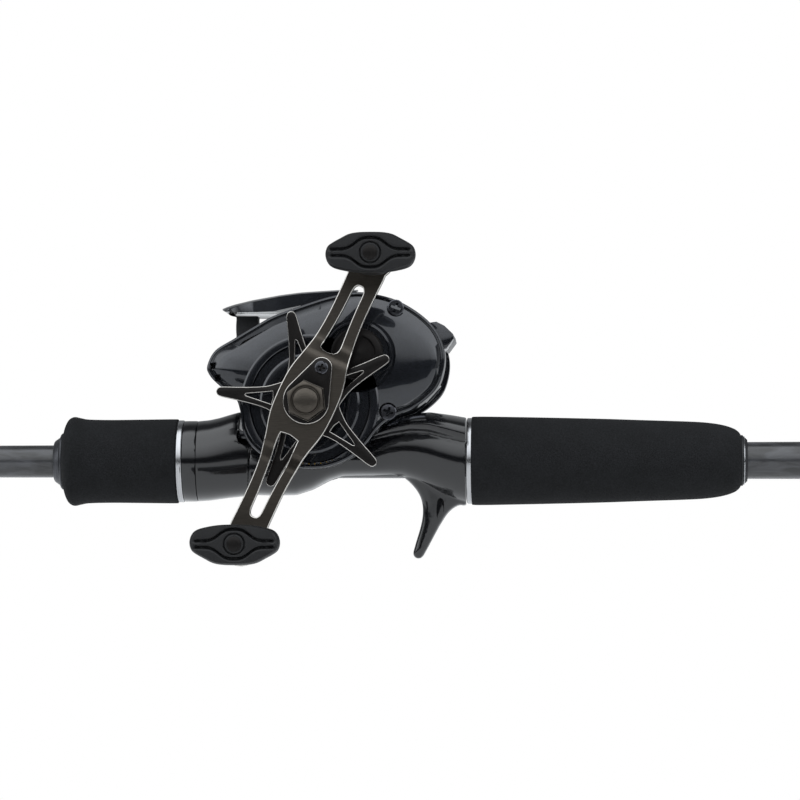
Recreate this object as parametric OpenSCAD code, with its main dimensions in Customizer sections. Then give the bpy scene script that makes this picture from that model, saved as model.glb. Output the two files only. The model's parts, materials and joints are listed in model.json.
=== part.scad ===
// Trigger-grip casting rod with a low-profile baitcasting reel.
// The rod lies along X with its tip towards -X; the origin is the centre of the butt end face.
// +Z is up, the reel sits on top of the rod, and the crank handle is on the -Y side.

/* [Rod] */
// Overall length of the rod, butt face to tip
rod_length = 1980; // [1600:10:2400]
// Diameter of the blank at the butt
butt_d = 12; // [11:0.1:12.6]
// Diameter of the blank where it leaves the fore grip
fore_d = 9.7; // [8:0.1:10]
// Diameter of the blank at the tip
tip_d = 1.8; // [1.6:0.1:2.4]
// Wall thickness of the hollow blank at the butt
blank_wall = 1.2; // [0.8:0.1:2]
// Distance from the butt face to the crank axis
crank_from_butt = 288; // [270:1:360]

/* [Grips] */
// Length of the foam grip behind the reel seat
rear_grip_len = 79.8; // [66:0.2:96]
// Largest diameter of the rear grip
rear_grip_d = 26.6; // [25:0.2:30]
// Length of the foam grip on the locking nut
fore_grip_len = 34.8; // [31:0.2:42]
// Largest diameter of the fore grip
fore_grip_d = 26.7; // [26:0.1:30]
// Length of the foam grip at the butt
butt_grip_len = 66; // [50:1:80]
// Length of the rubber butt cap
butt_cap_len = 12; // [10:0.5:16]
// Diameter of the rubber butt cap
butt_cap_d = 27; // [26:0.5:32]

/* [Reel seat] */
// Diameter of the threaded barrel that the hood slides on
barrel_d = 17.2; // [16.6:0.1:17.6]
// Width of the seat body
seat_w = 22; // [21:0.5:24]
// Width of the reel foot
foot_w = 15; // [12:0.5:16]
// Thickness of the reel foot
foot_t = 2.4; // [1.8:0.1:2.6]
// Thickness of the finger trigger
trigger_t = 8; // [6:0.5:10]

/* [Reel body] */
// Length of the reel's side plates from nose to tail
reel_len = 71.1; // [59:0.5:80]
// Height of the crank axis above the rod axis
crank_h = 16; // [15:0.25:18]
// Clear width between the frame walls
frame_gap = 27; // [25:0.5:32.5]
// Thickness of each frame wall
frame_wall = 2; // [1.6:0.1:2.6]
// Depth of the gear housing outside the frame wall
gear_depth = 15; // [14.8:0.1:17]
// Depth of the palm-side plate outside the frame wall
palm_depth = 11; // [10:0.5:14]
// Wall thickness of the side plates
shell_t = 1.5; // [1.2:0.1:1.8]

/* [Drive train] */
// Teeth on the main gear
main_teeth = 63; // [60:1:66]
// Teeth on the pinion
pinion_teeth = 10; // [10:1:11]
// Tooth width of the main gear
gear_face = 4; // [3.5:0.1:4.2]
// Diameter of the crank shaft
shaft_d = 5.2; // [4.4:0.1:6.3]
// Diameter of the spool shaft
spool_shaft_d = 3; // [2.6:0.1:3.4]
// How far the clutch yoke draws the pinion off the spool pin
clutch_travel = 1.4; // [1.3:0.05:1.5]
// How far the line guide moves to each side
guide_travel = 8.5; // [6:0.5:9]

/* [Handle and drag] */
// Distance from the crank axis to each knob axis
crank_arm = 46; // [44:1:56]
// Angle of the handle above the horizontal, as seen from the handle side
handle_angle = 65; // [0:1:90]
// Thickness of the handle plate
handle_t = 2.6; // [2:0.1:3]
// How far the handle arms are joggled in towards the reel
handle_joggle = 2.8; // [2:0.1:3]
// Length of the star drag's arms from the crank axis
star_r = 27; // [24:0.5:28]
// Length of a handle knob from end to end
knob_len = 25.8; // [22:0.2:30]
// Depth of a handle knob along its own axle
knob_depth = 21; // [18:0.5:26]
// Width of the handle nut across its flats
nut_af = 10; // [9:0.5:10.5]

/* [Clearances] */
// Radial clearance of a part that turns on a shaft
run_gap = 0.05; // [0.03:0.01:0.09]
// Clearance between faces of pieces that move past each other
side_gap = 0.4; // [0.3:0.05:0.6]
// Clearance round a piece that drops into a pocket
fit_gap = 0.2; // [0.1:0.05:0.3]
// Thinning of each gear tooth for backlash
backlash = 0.05; // [0.03:0.01:0.1]

/* [Hidden] */
$fn = 64;
eps = 0.02;

// Places along the rod, measured from the crank axis
reel_x = -crank_from_butt;
seat_back = 45.3;                              // back end of the seat body
seat_front = -19.5;                            // where the seat body steps down to the barrel
hood_front = -35.3;
collar_len = 4.2;
ring_len = 1.8;
nut_face = hood_front - 0.1;                   // joint line between hood and locking collar
grip_back = nut_face - collar_len - ring_len;  // back end of the fore grip
grip_front = grip_back - fore_grip_len;
barrel_front = grip_front + 4.5;
rear_ring_end = seat_back + 2;
rear_grip_end = rear_ring_end + rear_grip_len;
check_len = 2.6;
tip_x = -rod_length;

// Blank
butt_r = butt_d / 2;
fore_r = fore_d / 2;
tip_r = tip_d / 2;
fore_x = reel_x + grip_front - check_len;      // where the fore section of the blank starts
function blank_r(x) = x > fore_x
  ? butt_r + (fore_r - butt_r) * x / fore_x
  : fore_r + (tip_r - fore_r) * (x - fore_x) / (tip_x - fore_x);
bed_gap = 0.05;                                // glue line between the blank and what sits on it

// Reel layout in the side view, from the crank axis
rs = reel_len / 71.1;                          // scale of the side outline
spool_pos = [14.07, 14.3] * rs;
centre_dist = norm(spool_pos);
spool_dir = atan2(spool_pos[1], spool_pos[0]);
gear_mod = 2 * centre_dist / (main_teeth + pinion_teeth);
pressure = 28;
addendum = 0.9;
dedendum = 1.12;
shaft_r = shaft_d / 2;
spool_shaft_r = spool_shaft_d / 2;
spool_r = centre_dist - shaft_r - 0.98;        // the spool flange clears the crank shaft

// Level-wind train
wind_teeth = 46;
idler_teeth = 14;
worm_teeth = 20;
wind_mod = 0.5 * rs;
idler_pos = wind_mod * (wind_teeth + idler_teeth) / 2 * [cos(138), sin(138)];
worm_pos = idler_pos + wind_mod * (idler_teeth + worm_teeth) / 2 * [cos(149), sin(149)];
worm_r = 2.4;
journal_r = 1.2;
rail_pos = worm_pos + [0, 5.2];
rail_r = 0.9;

// Places across the reel, handle side negative
wall_in = frame_gap / 2;
wall_out = wall_in + frame_wall;
cover_gap = 0.1;
gear_face_y = -(wall_out + gear_depth);        // outer face of the gear housing
floor_y = gear_face_y + shell_t;               // inner floor of the gear housing
palm_face_y = wall_out + palm_depth;
dial_step = 0.8;                               // height of the round boss on the gear housing
boss_y = gear_face_y - dial_step;
main_in = -(wall_out + 6.7);                   // inner face of the main gear
main_out = main_in - gear_face;
wind_in = -(wall_out + 2.3);                   // inner face of the level-wind gears
wind_t = 1.8;
ratchet_in = -(wall_out + 0.8);
ratchet_t = 1.2;
star_back = boss_y - 0.8;
cap_face = gear_face_y - 4.5;                  // outer face of the cast control cap
star_in = cap_face - 1.2;                      // the star's arms pass over the cap
star_t = 2.4;
arm_in = star_in - star_t - 0.9;               // the handle's arms pass over the star
hub_in = arm_in - handle_joggle;
hub_out = hub_in - handle_t;
arm_out = arm_in - handle_t;
knob_in = arm_out - 1.4;
knob_out = knob_in - knob_depth;
nut_len = 4.4;
nut_turn = 36;                                 // angle of the nut's corner above the horizontal

// Handle knobs
knob_pos = crank_arm * [cos(handle_angle), sin(handle_angle)];
spindle_r = 2;

// Side outline of the reel's plates, from the crank axis
plate_pts = rs * [
  [-31.2, 11.3], [-28.8, 16.2], [-23, 19.7], [-16.8, 23.4], [-11.8, 27], [-3.4, 29.3],
  [7.3, 32.2], [14, 33.7], [20.2, 32.7], [26.1, 30.8], [32, 27.5], [36.7, 23.6],
  [39.4, 18], [39.9, 12.5], [38.3, 6], [35, 1.9], [30, -2], [24, -4], [20, -7],
  [16.5, -12], [11.5, -16.6], [4, -19.3], [-4, -19.3], [-12, -17], [-18, -12.6],
  [-21.3, -8], [-21.6, 1], [-26.9, 5], [-30.4, 8.4]
];
// Front cowl over the level wind, from the crank axis
cowl_pts = rs * [
  [-27.4, 28.4], [-24.9, 29.7], [-18.9, 31.2], [-10, 32.7], [-4.1, 33.5], [7.8, 34.4],
  [13.2, 34.5], [13.2, 33.9], [7.3, 32.6], [-3.4, 29.7], [-11.8, 27.5], [-17.1, 27.8], [-24.9, 27.8]
];
thumb_pts = rs * [
  [33, 24.5], [36.5, 25], [38.9, 23.8], [41.4, 21.4], [41.7, 20], [39.5, 17], [35.5, 15.4], [33.6, 19]
];

// Guides: distance from the tip, ring radius and height of the ring's centre above the blank
guide_table = [
  [100, 2.4, 5.5], [215, 2.5, 5.8], [345, 2.7, 6.2], [490, 3, 6.8],
  [655, 3.4, 7.6], [850, 4, 9], [1090, 4.8, 11]
];
guide_wire = 0.6;

// ---- Shared shapes ----

module at_reel() { translate([reel_x, 0, 0]) children(); }
module at_crank() { translate([reel_x, 0, crank_h]) children(); }
module at_spool() { at_crank() translate([spool_pos[0], 0, spool_pos[1]]) children(); }
// Draws a side-view outline as a slab between two places across the reel
module slab(y0, y1) {
  translate([0, y1, 0]) rotate([90, 0, 0]) linear_extrude(y1 - y0) children();
}
module pin_y(y0, y1, r) { translate([0, y0, 0]) rotate([-90, 0, 0]) cylinder(h = y1 - y0, r = r); }
module ring_y(y0, y1, r, bore) {
  difference() {
    pin_y(y0, y1, r);
    pin_y(y0 - 1, y1 + 1, bore);
  }
}
// Turns a profile of [radius, x] points about the rod's axis
module lathe_x(pts) { rotate([0, 90, 0]) rotate_extrude() polygon(pts); }
module pin_x(x0, x1, r0, r1) { translate([x0, 0, 0]) rotate([0, 90, 0]) cylinder(h = x1 - x0, r1 = r0, r2 = r1); }
module spot(p) { translate([p[0], 0, p[1]]) children(); }

// Half-angle of a tooth at radius r
function tooth_half(r, rb, half) = let(a = acos(min(1, rb / max(r, rb))))
  half + tan(pressure) * 180 / PI - pressure - (tan(a) * 180 / PI - a);
// Outline of an involute spur gear with one tooth centred on the angle phase
function gear_pts(teeth, mod, phase) = let(
  rp = teeth * mod / 2, rb = rp * cos(pressure), root = rp - dedendum * mod, tip = rp + addendum * mod,
  half = 90 / teeth - backlash / 2 / rp * 180 / PI,
  radii = [root, max(rb, root) + 0.1 * mod, rp, (rp + tip) / 2, tip])
  [for (k = [0 : teeth - 1]) let(c = phase + 360 * k / teeth) each [
    for (i = [0 : 4]) let(a = c - tooth_half(radii[i], rb, half)) radii[i] * [cos(a), sin(a)],
    for (i = [4 : -1 : 0]) let(a = c + tooth_half(radii[i], rb, half)) radii[i] * [cos(a), sin(a)]]];
// Phase of a gear that meshes with a gear of n1 teeth at phase p1, lying in direction dir from it
function mesh_phase(dir, p1, n1, n2) = let(u = (dir - p1) * n1 / 360)
  dir + 180 + (u - floor(u) - 0.5) * 360 / n2;

// Flattened oval with half-sizes a and b, the section of the seat's body
module oval(a, b) {
  polygon([for (t = [0 : 7.5 : 352.5])
    [a * sign(cos(t)) * pow(abs(cos(t)), 0.85), b * sign(sin(t)) * pow(abs(sin(t)), 0.85)]]);
}
// The oval drawn along the rod from x0 to x1
module oval_bar(x0, x1, a, b) {
  translate([x0, 0, 0]) rotate([90, 0, 90]) linear_extrude(x1 - x0) oval(a, b);
}
module plate_outline(inset) {
  offset(r = 5 * rs, $fn = 48) offset(delta = -5 * rs - inset) polygon(plate_pts);
}

// ---- Rod ----

module blank() {
  mid = [butt_r - blank_wall, fore_r - blank_wall];
  color("#1d1f22") difference() {
    union() {
      pin_x(fore_x, -butt_cap_len + 3, fore_r, butt_r);
      pin_x(tip_x + 2, fore_x + eps, tip_r, fore_r);
    }
    pin_x(fore_x, -butt_cap_len + 4, mid[1], mid[0]);
    pin_x(tip_x + 1, fore_x + eps, tip_r * 0.45, mid[1]);
  }
}

module butt_cap() {
  r = butt_cap_d / 2;
  color("#202124") difference() {
    lathe_x([[0, -butt_cap_len], [r, -butt_cap_len], [r, -3], [r - 0.9, -0.9], [r - 3, 0], [0, 0]]);
    pin_x(-butt_cap_len - 1, -butt_cap_len + 3 + 0.1, butt_r + bed_gap, butt_r + bed_gap);
  }
}

module butt_grip() {
  x0 = -butt_cap_len - butt_grip_len;
  r = rear_grip_d / 2;
  color("#303236") difference() {
    lathe_x([[0, x0], [r - 5, x0], [r - 3.4, x0 + 1.5], [r - 2, x0 + 6], [r - 1.2, x0 + 16],
      [r - 1.5, x0 + 30], [r - 0.6, -butt_cap_len - 12], [r, -butt_cap_len], [0, -butt_cap_len]]);
    pin_x(x0 - 1, -butt_cap_len + 1, butt_r + bed_gap, butt_r + bed_gap);
  }
}

module rear_check() {
  x0 = reel_x + rear_grip_end;
  bore = blank_r(x0) + bed_gap;
  color("#2a2b2e") difference() {
    lathe_x([[0, x0], [7.6, x0], [7.5, x0 + 0.7], [bore + 0.9, x0 + 1.8], [0, x0 + 1.8]]);
    pin_x(x0 - 1, x0 + 3, bore, bore);
  }
}

module rear_grip() {
  x0 = reel_x + rear_ring_end;
  x1 = reel_x + rear_grip_end;
  r = rear_grip_d / 2;
  color("#303236") difference() {
    lathe_x([[0, x0], [r, x0], [r - 0.2, x0 + 13], [r - 1.1, x1 - 30], [r - 1.7, x1 - 15],
      [r - 2.2, x1 - 9], [r - 2.9, x1 - 5], [r - 4.1, x1 - 1.6], [r - 5.3, x1 - 0.3], [r - 6, x1], [0, x1]]);
    pin_x(x0 - 1, x1 + 1, blank_r(x1) + bed_gap, blank_r(x1) + bed_gap);
  }
}

module rear_trim_ring() {
  x0 = reel_x + seat_back;
  r = rear_grip_d / 2 - 0.45;
  color("#d9dadc") difference() {
    lathe_x([[0, x0], [r - 0.3, x0], [r, x0 + 0.3], [r, x0 + 1.7], [r - 0.3, x0 + 2], [0, x0 + 2]]);
    pin_x(x0 - 1, x0 + 3, blank_r(x0 + 2) + bed_gap, blank_r(x0 + 2) + bed_gap);
  }
}

// ---- Reel seat ----

foot_z = 6.5;                                  // deck that the reel foot lies on
foot_front = -32;
foot_back = 31.5;
barrel_r = barrel_d / 2;
body_top = 14.8;
seat_bore = blank_r(reel_x + seat_front) + 0.35;

module seat_profile() {
  polygon([[seat_front, -10], [-6.7, -10.2], [-4, -9.7], [-1, -8.7], [1.6, -7.4], [4.1, -5.8], [6.8, -4.6],
    [25.3, -4.6], [27.4, -6.2], [28.7, -7], [45.3, -12.9], [45.3, 12.9], [39.8, 13.6], [33.6, 14.5],
    [31.8, 14.4], [29.7, 13.7], [25.2, 12], [22.2, 11.2], [19.6, 9], [18.2, 7.4], [17, foot_z],
    [seat_front, foot_z]]);
}
module trigger_profile() {
  polygon([[27.2, -5.6], [28.7, -7], [30.5, -8.9], [31.7, -10.8], [32.2, -12.6], [32.1, -15.5], [31.2, -20.1],
    [29.2, -26.9], [29.4, -28.5], [30.7, -29.2], [32.1, -28.6], [34.1, -24.9], [37.9, -17.6],
    [39.5, -15.1], [40.8, -13.8], [42.4, -13.1], [45.3, -12.6], [45.3, -4], [30, -4]]);
}
module foot_pocket(x0, x1) {
  translate([x0, -foot_w / 2 - fit_gap, foot_z - 0.05])
    cube([x1 - x0, foot_w + 2 * fit_gap, foot_t + fit_gap + 0.1]);
}
module reel_seat() {
  color("#141519") at_reel() difference() {
    union() {
      intersection() {
        slab(-seat_w / 2, seat_w / 2) seat_profile();
        oval_bar(seat_front, seat_back, seat_w / 2, body_top);
      }
      slab(-trigger_t / 2, trigger_t / 2) trigger_profile();
      difference() {
        pin_x(barrel_front, seat_front + 1, barrel_r, barrel_r);
        translate([foot_front - 2, -20, foot_z]) cube([40, 40, 10]);
      }
    }
    foot_pocket(10, foot_back + fit_gap);
    pin_x(barrel_front - 1, seat_back + 1, seat_bore, seat_bore);
  }
}

module seat_hood() {
  color("#141519") at_reel() difference() {
    intersection() {
      slab(-seat_w / 2 - 0.4, seat_w / 2 + 0.4) polygon([
        [hood_front, -12], [hood_front, 12.1], [-31.9, 12.4], [-28.9, 13], [-25.9, 13.8], [-23, 14.7],
        [-22.4, 14.3], [-23.2, 6.2], [-21.4, 4.6], [-19.9, 3], [-19.9, -10.3], [-22.3, -10.6], [-28.9, -11.3]]);
      oval_bar(hood_front, seat_front, seat_w / 2 + 0.4, body_top);
    }
    foot_pocket(foot_front - fit_gap, seat_front + 1);
    pin_x(hood_front - 1, seat_front + 1, barrel_r + run_gap, barrel_r + run_gap);
  }
}

// ---- Locking nut with the fore grip ----

nut_r = barrel_r + 1.3;                        // outside of the threaded insert
fore_bore = fore_r + 0.5;

module lock_nut() {
  color("#3b3d41") at_reel() difference() {
    pin_x(barrel_front + 2, grip_back + 0.6, nut_r, nut_r);
    pin_x(barrel_front, grip_back + 2, barrel_r + run_gap, barrel_r + run_gap);
  }
}
module lock_collar() {
  x0 = grip_back + ring_len;
  color("#141519") at_reel() difference() {
    lathe_x([[0, x0], [11.9, x0], [12.1, x0 + 0.3], [12.1, nut_face - 0.3], [11.9, nut_face], [0, nut_face]]);
    pin_x(x0 - 1, nut_face + 1, barrel_r + run_gap, barrel_r + run_gap);
  }
}
module front_trim_ring() {
  color("#d9dadc") at_reel() difference() {
    lathe_x([[0, grip_back], [12.1, grip_back], [12.3, grip_back + 0.3], [12.3, grip_back + ring_len - 0.3],
      [12.1, grip_back + ring_len], [0, grip_back + ring_len]]);
    pin_x(grip_back - 1, grip_back + 0.6, nut_r, nut_r);
    pin_x(grip_back, grip_back + 4, barrel_r + run_gap, barrel_r + run_gap);
  }
}
module front_grip() {
  r = fore_grip_d / 2;
  g = grip_front;
  color("#303236") at_reel() difference() {
    lathe_x([[0, g], [r - 4.9, g], [r - 3.4, g + 0.6], [r - 2.2, g + 1], [r - 1, g + 1.7], [r - 0.3, g + 2.3],
      [r, g + 3.4], [r - 0.3, g + 5.2], [r - 0.7, g + 7.5], [r - 0.85, g + 15], [r - 0.7, grip_back - 0.5],
      [r - 1.2, grip_back], [0, grip_back]]);
    pin_x(g - 1, grip_back + 1, fore_bore, fore_bore);
    pin_x(g + 3.5, grip_back + 1, nut_r, nut_r);
  }
}
module front_check() {
  x0 = grip_front - check_len;
  color("#c9cacd") at_reel() difference() {
    lathe_x([[0, x0], [fore_bore + 1, x0], [6.4, x0 + 0.5], [8.2, x0 + 2.2], [8.4, grip_front], [0, grip_front]]);
    pin_x(x0 - 1, grip_front + 1, fore_bore, fore_bore);
  }
}

// ---- Line guides ----

// Round wire from p to q
module strut(p, q, r) {
  d = q - p;
  translate(p) rotate([0, acos(d[2] / norm(d)), atan2(d[1], d[0])]) cylinder(h = norm(d), r = r, $fn = 16);
}
function guide_x(g) = tip_x + g[0];
function guide_z(g) = blank_r(guide_x(g)) + g[2];
guide_hoop = 0.75;                             // section radius of a guide's hoop
module guide_frames() {
  color("#2b2d30") for (g = guide_table) translate([guide_x(g), 0, 0]) {
    z = guide_z(g);
    r = g[1];
    foot = blank_r(guide_x(g)) + guide_wire + 0.1;
    translate([0, 0, z]) rotate([0, 90, 0]) difference() {
      rotate_extrude() translate([r + guide_hoop, 0]) circle(guide_hoop, $fn = 20);
      translate([0, 0, -0.6]) cylinder(h = 1.2, r = r + 0.12);
    }
    for (s = [-1, 1]) {
      top = [0, s * (r + guide_hoop) * cos(40), z - (r + guide_hoop) * sin(40)];
      strut(top, [-g[2] * 1.1, s * 0.35, foot], guide_wire);
      strut(top, [g[2] * 0.9, s * 0.35, foot], guide_wire);
    }
    translate([-g[2] * 1.1 - 7, -1, foot - guide_wire]) cube([8, 2, 2 * guide_wire]);
    translate([g[2] * 0.9 - 1, -1, foot - guide_wire]) cube([8, 2, 2 * guide_wire]);
  }
}
module guide_rings() {
  color("#4a4c50") for (g = guide_table) translate([guide_x(g), 0, guide_z(g)])
    rotate([0, 90, 0]) translate([0, 0, -0.6]) difference() {
      cylinder(h = 1.2, r = g[1] + 0.12);
      translate([0, 0, -1]) cylinder(h = 4, r = g[1] - 0.6);
    }
}
module guide_wraps() {
  color("#17181b") for (g = guide_table, s = [-1, 1]) {
    x0 = guide_x(g) + (s < 0 ? -g[2] * 1.1 - 9 : g[2] * 0.9 + 1);
    bore = blank_r(x0 + 8) + bed_gap;
    translate([x0, 0, 0]) difference() {
      union() {
        pin_x(0, 8, bore + 0.35, bore + 0.35);
        translate([0, -1.5, 0]) cube([8, 3, bore + 2 * guide_wire + 0.4]);
      }
      pin_x(-1, 9, bore, bore);
      translate([-1, -1.05, 0]) cube([10, 2.1, bore + 2 * guide_wire + 0.12]);
    }
  }
}
tip_ring = [2.6, 1.5, 4.2];                    // hoop radius, bore radius, centre above the rod axis
module tip_top() {
  tube = tip_r + 0.5;
  color("#2b2d30") difference() {
    union() {
      pin_x(tip_x + 1.5, tip_x + 13, tube, tube);
      translate([tip_x, 0, tip_ring[2]]) pin_x(0, 1.6, tip_ring[0], tip_ring[0]);
      translate([tip_x, -0.6, 0]) cube([1.6, 1.2, tip_ring[2] - 1.6]);
      strut([tip_x + 0.8, 0, tip_ring[2] + 2.2], [tip_x + 8, 0, tube - 0.3], 0.45);
    }
    translate([tip_x + 2, 0, 0]) pin_x(0, 14, tip_r + bed_gap + 0.02, tip_r + bed_gap + 0.02);
    translate([tip_x - 1, 0, tip_ring[2]]) pin_x(0, 2.6, tip_ring[1], tip_ring[1]);
  }
}

// ---- Reel frame and covers ----

deck_z = foot_z + foot_t;                      // top of the reel foot
bar_top = crank_h + spool_pos[1] - spool_r - 0.9;
palm_bore = spool_r + 0.7;
pinion_hole = 4.2;
bearing_r = 4;                                 // outside of the spool bearings
shaft_bearing_r = shaft_r + 2;
post_off = 8 * rs;                             // clutch posts either side of the pinion
post_r = 0.9;
post_dir = spool_dir + 90;
post_spots = [for (s = [-1, 1]) spool_pos + s * post_off * [cos(post_dir), sin(post_dir)]];
pawl_pos = rs * [-9.5, -8.5];
screw_spots = rs * [[25.1, 28.2], [22.9, -2.4]];
screw_head_r = 2.3;
screw_shank_r = 1.2;

module reel_frame() {
  color("#3a3c41") at_crank() difference() {
    union() {
      slab(-wall_out, -wall_in) plate_outline(1.2);
      slab(wall_in, wall_out) plate_outline(1.2);
      slab(-wall_in - eps, wall_in + eps)
        polygon(concat([[-19 * rs, bar_top - crank_h], [18 * rs, bar_top - crank_h]],
          [[18 * rs, deck_z - crank_h - eps], [-19 * rs, deck_z - crank_h - eps]]));
      slab(-wall_in - eps, wall_in + eps)
        polygon(rs * [[-29.6, 11.4], [-27, 15.4], [-24.5, 14], [-24.5, 7], [-27, 6.6], [-29, 9]]);
      slab(-wall_in - eps, wall_in + eps)
        polygon(rs * [[32.5, 2], [37, 7], [36.5, 9.5], [34, 9], [32.5, 5]]);
      translate([foot_front, -foot_w / 2, foot_z - crank_h]) cube([foot_back - foot_front, foot_w, foot_t]);
      spot(idler_pos) pin_y(wind_in - wind_t - 0.6, -wall_out + eps, 1);
      spot(pawl_pos) pin_y(ratchet_in - ratchet_t - 0.3, -wall_out + eps, 1);
    }
    pin_y(-wall_out - 1, -wall_in + 1, shaft_bearing_r);
    spot(spool_pos) pin_y(-wall_out - 1, -wall_in + 1, pinion_hole);
    spot(spool_pos) pin_y(wall_in - 1, wall_out + 1, palm_bore);
    spot(worm_pos) pin_y(-wall_out - 1, wall_out + 1, journal_r + 1.4);
    spot(rail_pos) pin_y(-wall_out - 1, wall_out + 1, rail_r + bed_gap);
    for (p = post_spots) spot(p) pin_y(-wall_out - 1, -wall_in + 1, post_r + bed_gap);
    translate([33.2 * rs, -wall_out - 1, 12.5 * rs]) cube([4.4 * rs, frame_wall + 2, 8 * rs]);
    for (p = screw_spots) spot(p) pin_y(-wall_out - 1, -wall_in + 1, screw_shank_r + bed_gap);
  }
}

module top_cover() {
  half = wall_out + 4.5;
  color("#34363b") at_crank() difference() {
    slab(-half, half) polygon(cowl_pts);
    slab(-wall_in + 1, wall_in - 1) polygon(rs * [[-2, 20], [-5, 40], [20, 40], [20, 20]]);
    for (s = [-1, 1]) translate([-28 * rs, s * (wall_in + 12), 20 * rs]) rotate([0, 0, s * 24])
      translate([-12, -12, 0]) cube([24, 24, 20]);
  }
}

cast_r = 7.9;                                  // cast control cap
cast_boss_r = 5;
recess_r = 11.1;
sleeve_r = shaft_r + 1.8;
clutch_r = sleeve_r + 2.6;                     // outside of the one-way bearing
boss_r = 17.6 * rs;
main_tip_r = gear_mod * (main_teeth / 2 + addendum);
worm_tip_r = wind_mod * (worm_teeth / 2 + addendum);
module gear_side_plate() {
  in_y = -wall_out - cover_gap;
  color("#3a3c41") at_crank() difference() {
    union() {
      slab(gear_face_y + 4.2, in_y) plate_outline(0);
      slab(gear_face_y + 1.8, gear_face_y + 4.3) plate_outline(0.5);
      slab(gear_face_y, gear_face_y + 1.9) plate_outline(1.5);
      pin_y(boss_y, gear_face_y + 1, boss_r);
    }
    difference() {
      union() {
        slab(floor_y, in_y + 1) plate_outline(shell_t + 0.9);
        slab(gear_face_y + 4, in_y + 1) plate_outline(shell_t);
        pin_y(main_out - 0.6, in_y + 1, main_tip_r + side_gap);
        spot(worm_pos) pin_y(wind_in - wind_t - 0.6, in_y + 1, worm_tip_r + side_gap);
      }
      pin_y(floor_y - 1, main_out - 0.3, clutch_r + 1.2);
      spot(spool_pos) pin_y(floor_y - 1, floor_y + 0.8, bearing_r + 1.2);
      for (p = screw_spots) spot(p) pin_y(floor_y - 1, 0, screw_shank_r + 1.3);
    }
    spot(spool_pos) pin_y(gear_face_y - 3, gear_face_y + 0.8, recess_r);
    pin_y(boss_y + 0.6, main_out, clutch_r);
    pin_y(boss_y - 1, boss_y + 1, sleeve_r + 0.5);
    ring_y(boss_y - 1, boss_y + 0.35, boss_r - 0.9, boss_r - 1.5);
    spot(spool_pos) pin_y(gear_face_y, 0, bearing_r - 0.6);
    for (p = screw_spots) spot(p) {
      pin_y(gear_face_y - 3, gear_face_y + 1.1, screw_head_r + fit_gap);
      pin_y(gear_face_y - 3, 0, screw_shank_r + bed_gap);
    }
  }
  color("#3a3c41") at_spool() difference() {
    pin_y(gear_face_y - 2.9, gear_face_y + 1, cast_boss_r);
    pin_y(gear_face_y - 4, gear_face_y + 0.3, bearing_r);
    pin_y(gear_face_y - 4, gear_face_y + 2, bearing_r - 0.6);
  }
}
module side_plate_screws() {
  color("#b9bbbf") at_crank() for (p = screw_spots) spot(p) difference() {
    union() {
      pin_y(gear_face_y + 0.2, gear_face_y + 1.1, screw_head_r);
      pin_y(gear_face_y + 1, -wall_in - 0.2, screw_shank_r);
    }
    translate([-3, gear_face_y - 1, -0.35]) cube([6, 1.7, 0.7]);
  }
}

dial_r = 8.5;
magnet_in = wall_out + 1.4;
module palm_plate() {
  in_y = wall_out + cover_gap;
  color("#3a3c41") at_crank() difference() {
    union() {
      slab(in_y, palm_face_y - 5.4) plate_outline(0);
      slab(palm_face_y - 5.5, palm_face_y - 2.6) plate_outline(1);
      slab(palm_face_y - 2.7, palm_face_y - 0.9) plate_outline(2.8);
      slab(palm_face_y - 1, palm_face_y) plate_outline(5.5);
    }
    difference() {
      slab(in_y - 1, palm_face_y - 3.4) plate_outline(shell_t + 2.8);
      spot(spool_pos) pin_y(wall_out + 3.6, palm_face_y, bearing_r + 1.4);
    }
    spot(spool_pos) pin_y(0, wall_out + 6.6, bearing_r);
    spot(spool_pos) pin_y(palm_face_y - 0.6, palm_face_y + 4, dial_r + fit_gap);
    spot(spool_pos) pin_y(palm_face_y - 3, palm_face_y + 4, 2 + run_gap);
  }
}
module brake_dial() {
  color("#25262a") at_spool() difference() {
    union() {
      pin_y(palm_face_y - 0.5, palm_face_y + 1.6, dial_r);
      pin_y(palm_face_y - 2.9, palm_face_y, 2);
    }
    for (a = [0 : 30 : 330]) rotate([0, a, 0]) translate([dial_r + 0.6, 0, 0])
      pin_y(palm_face_y - 1, palm_face_y + 3, 1.1);
  }
}
module magnet_holder() {
  color("#8a8c90") at_spool()
    ring_y(magnet_in + 1.5, magnet_in + 2.3, 12.5 * rs, bearing_r + 1.4 + side_gap);
}
module brake_magnets() {
  color("#c2c4c8") at_spool() for (a = [0 : 60 : 300]) rotate([0, a, 0])
    translate([9.4 * rs, 0, 0]) pin_y(magnet_in, magnet_in + 1.5, 1.8);
}

// ---- Bearings and fixed small parts ----

module main_shaft_bearing() {
  color("#b9bbbf") at_crank() ring_y(-wall_out, -wall_in, shaft_bearing_r, shaft_r + 0.02);
}
module one_way_bearing() {
  color("#b9bbbf") at_crank() ring_y(boss_y + 0.6, main_out - 0.3, clutch_r, shaft_r + run_gap);
}
module spool_bearings() {
  color("#b9bbbf") at_spool() {
    ring_y(gear_face_y - 2.5, gear_face_y + 0.3, bearing_r, spool_shaft_r + 0.02);
    ring_y(wall_out + 4, wall_out + 6.5, bearing_r, spool_shaft_r + 0.02);
  }
}
ratchet_r = 8.5 * rs;
ratchet_teeth = 12;
module ratchet_pawl() {
  reach = norm(pawl_pos) - ratchet_r;
  a = atan2(-pawl_pos[1], -pawl_pos[0]);
  color("#9a9ca0") at_crank() spot(pawl_pos) difference() {
    slab(ratchet_in - ratchet_t, ratchet_in) union() {
      circle(2.1);
      rotate(a + 35) translate([0, -0.8]) square([reach + 0.6, 1.6]);
    }
    pin_y(ratchet_in - ratchet_t - 1, ratchet_in + 1, 1 + run_gap);
  }
}
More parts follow.
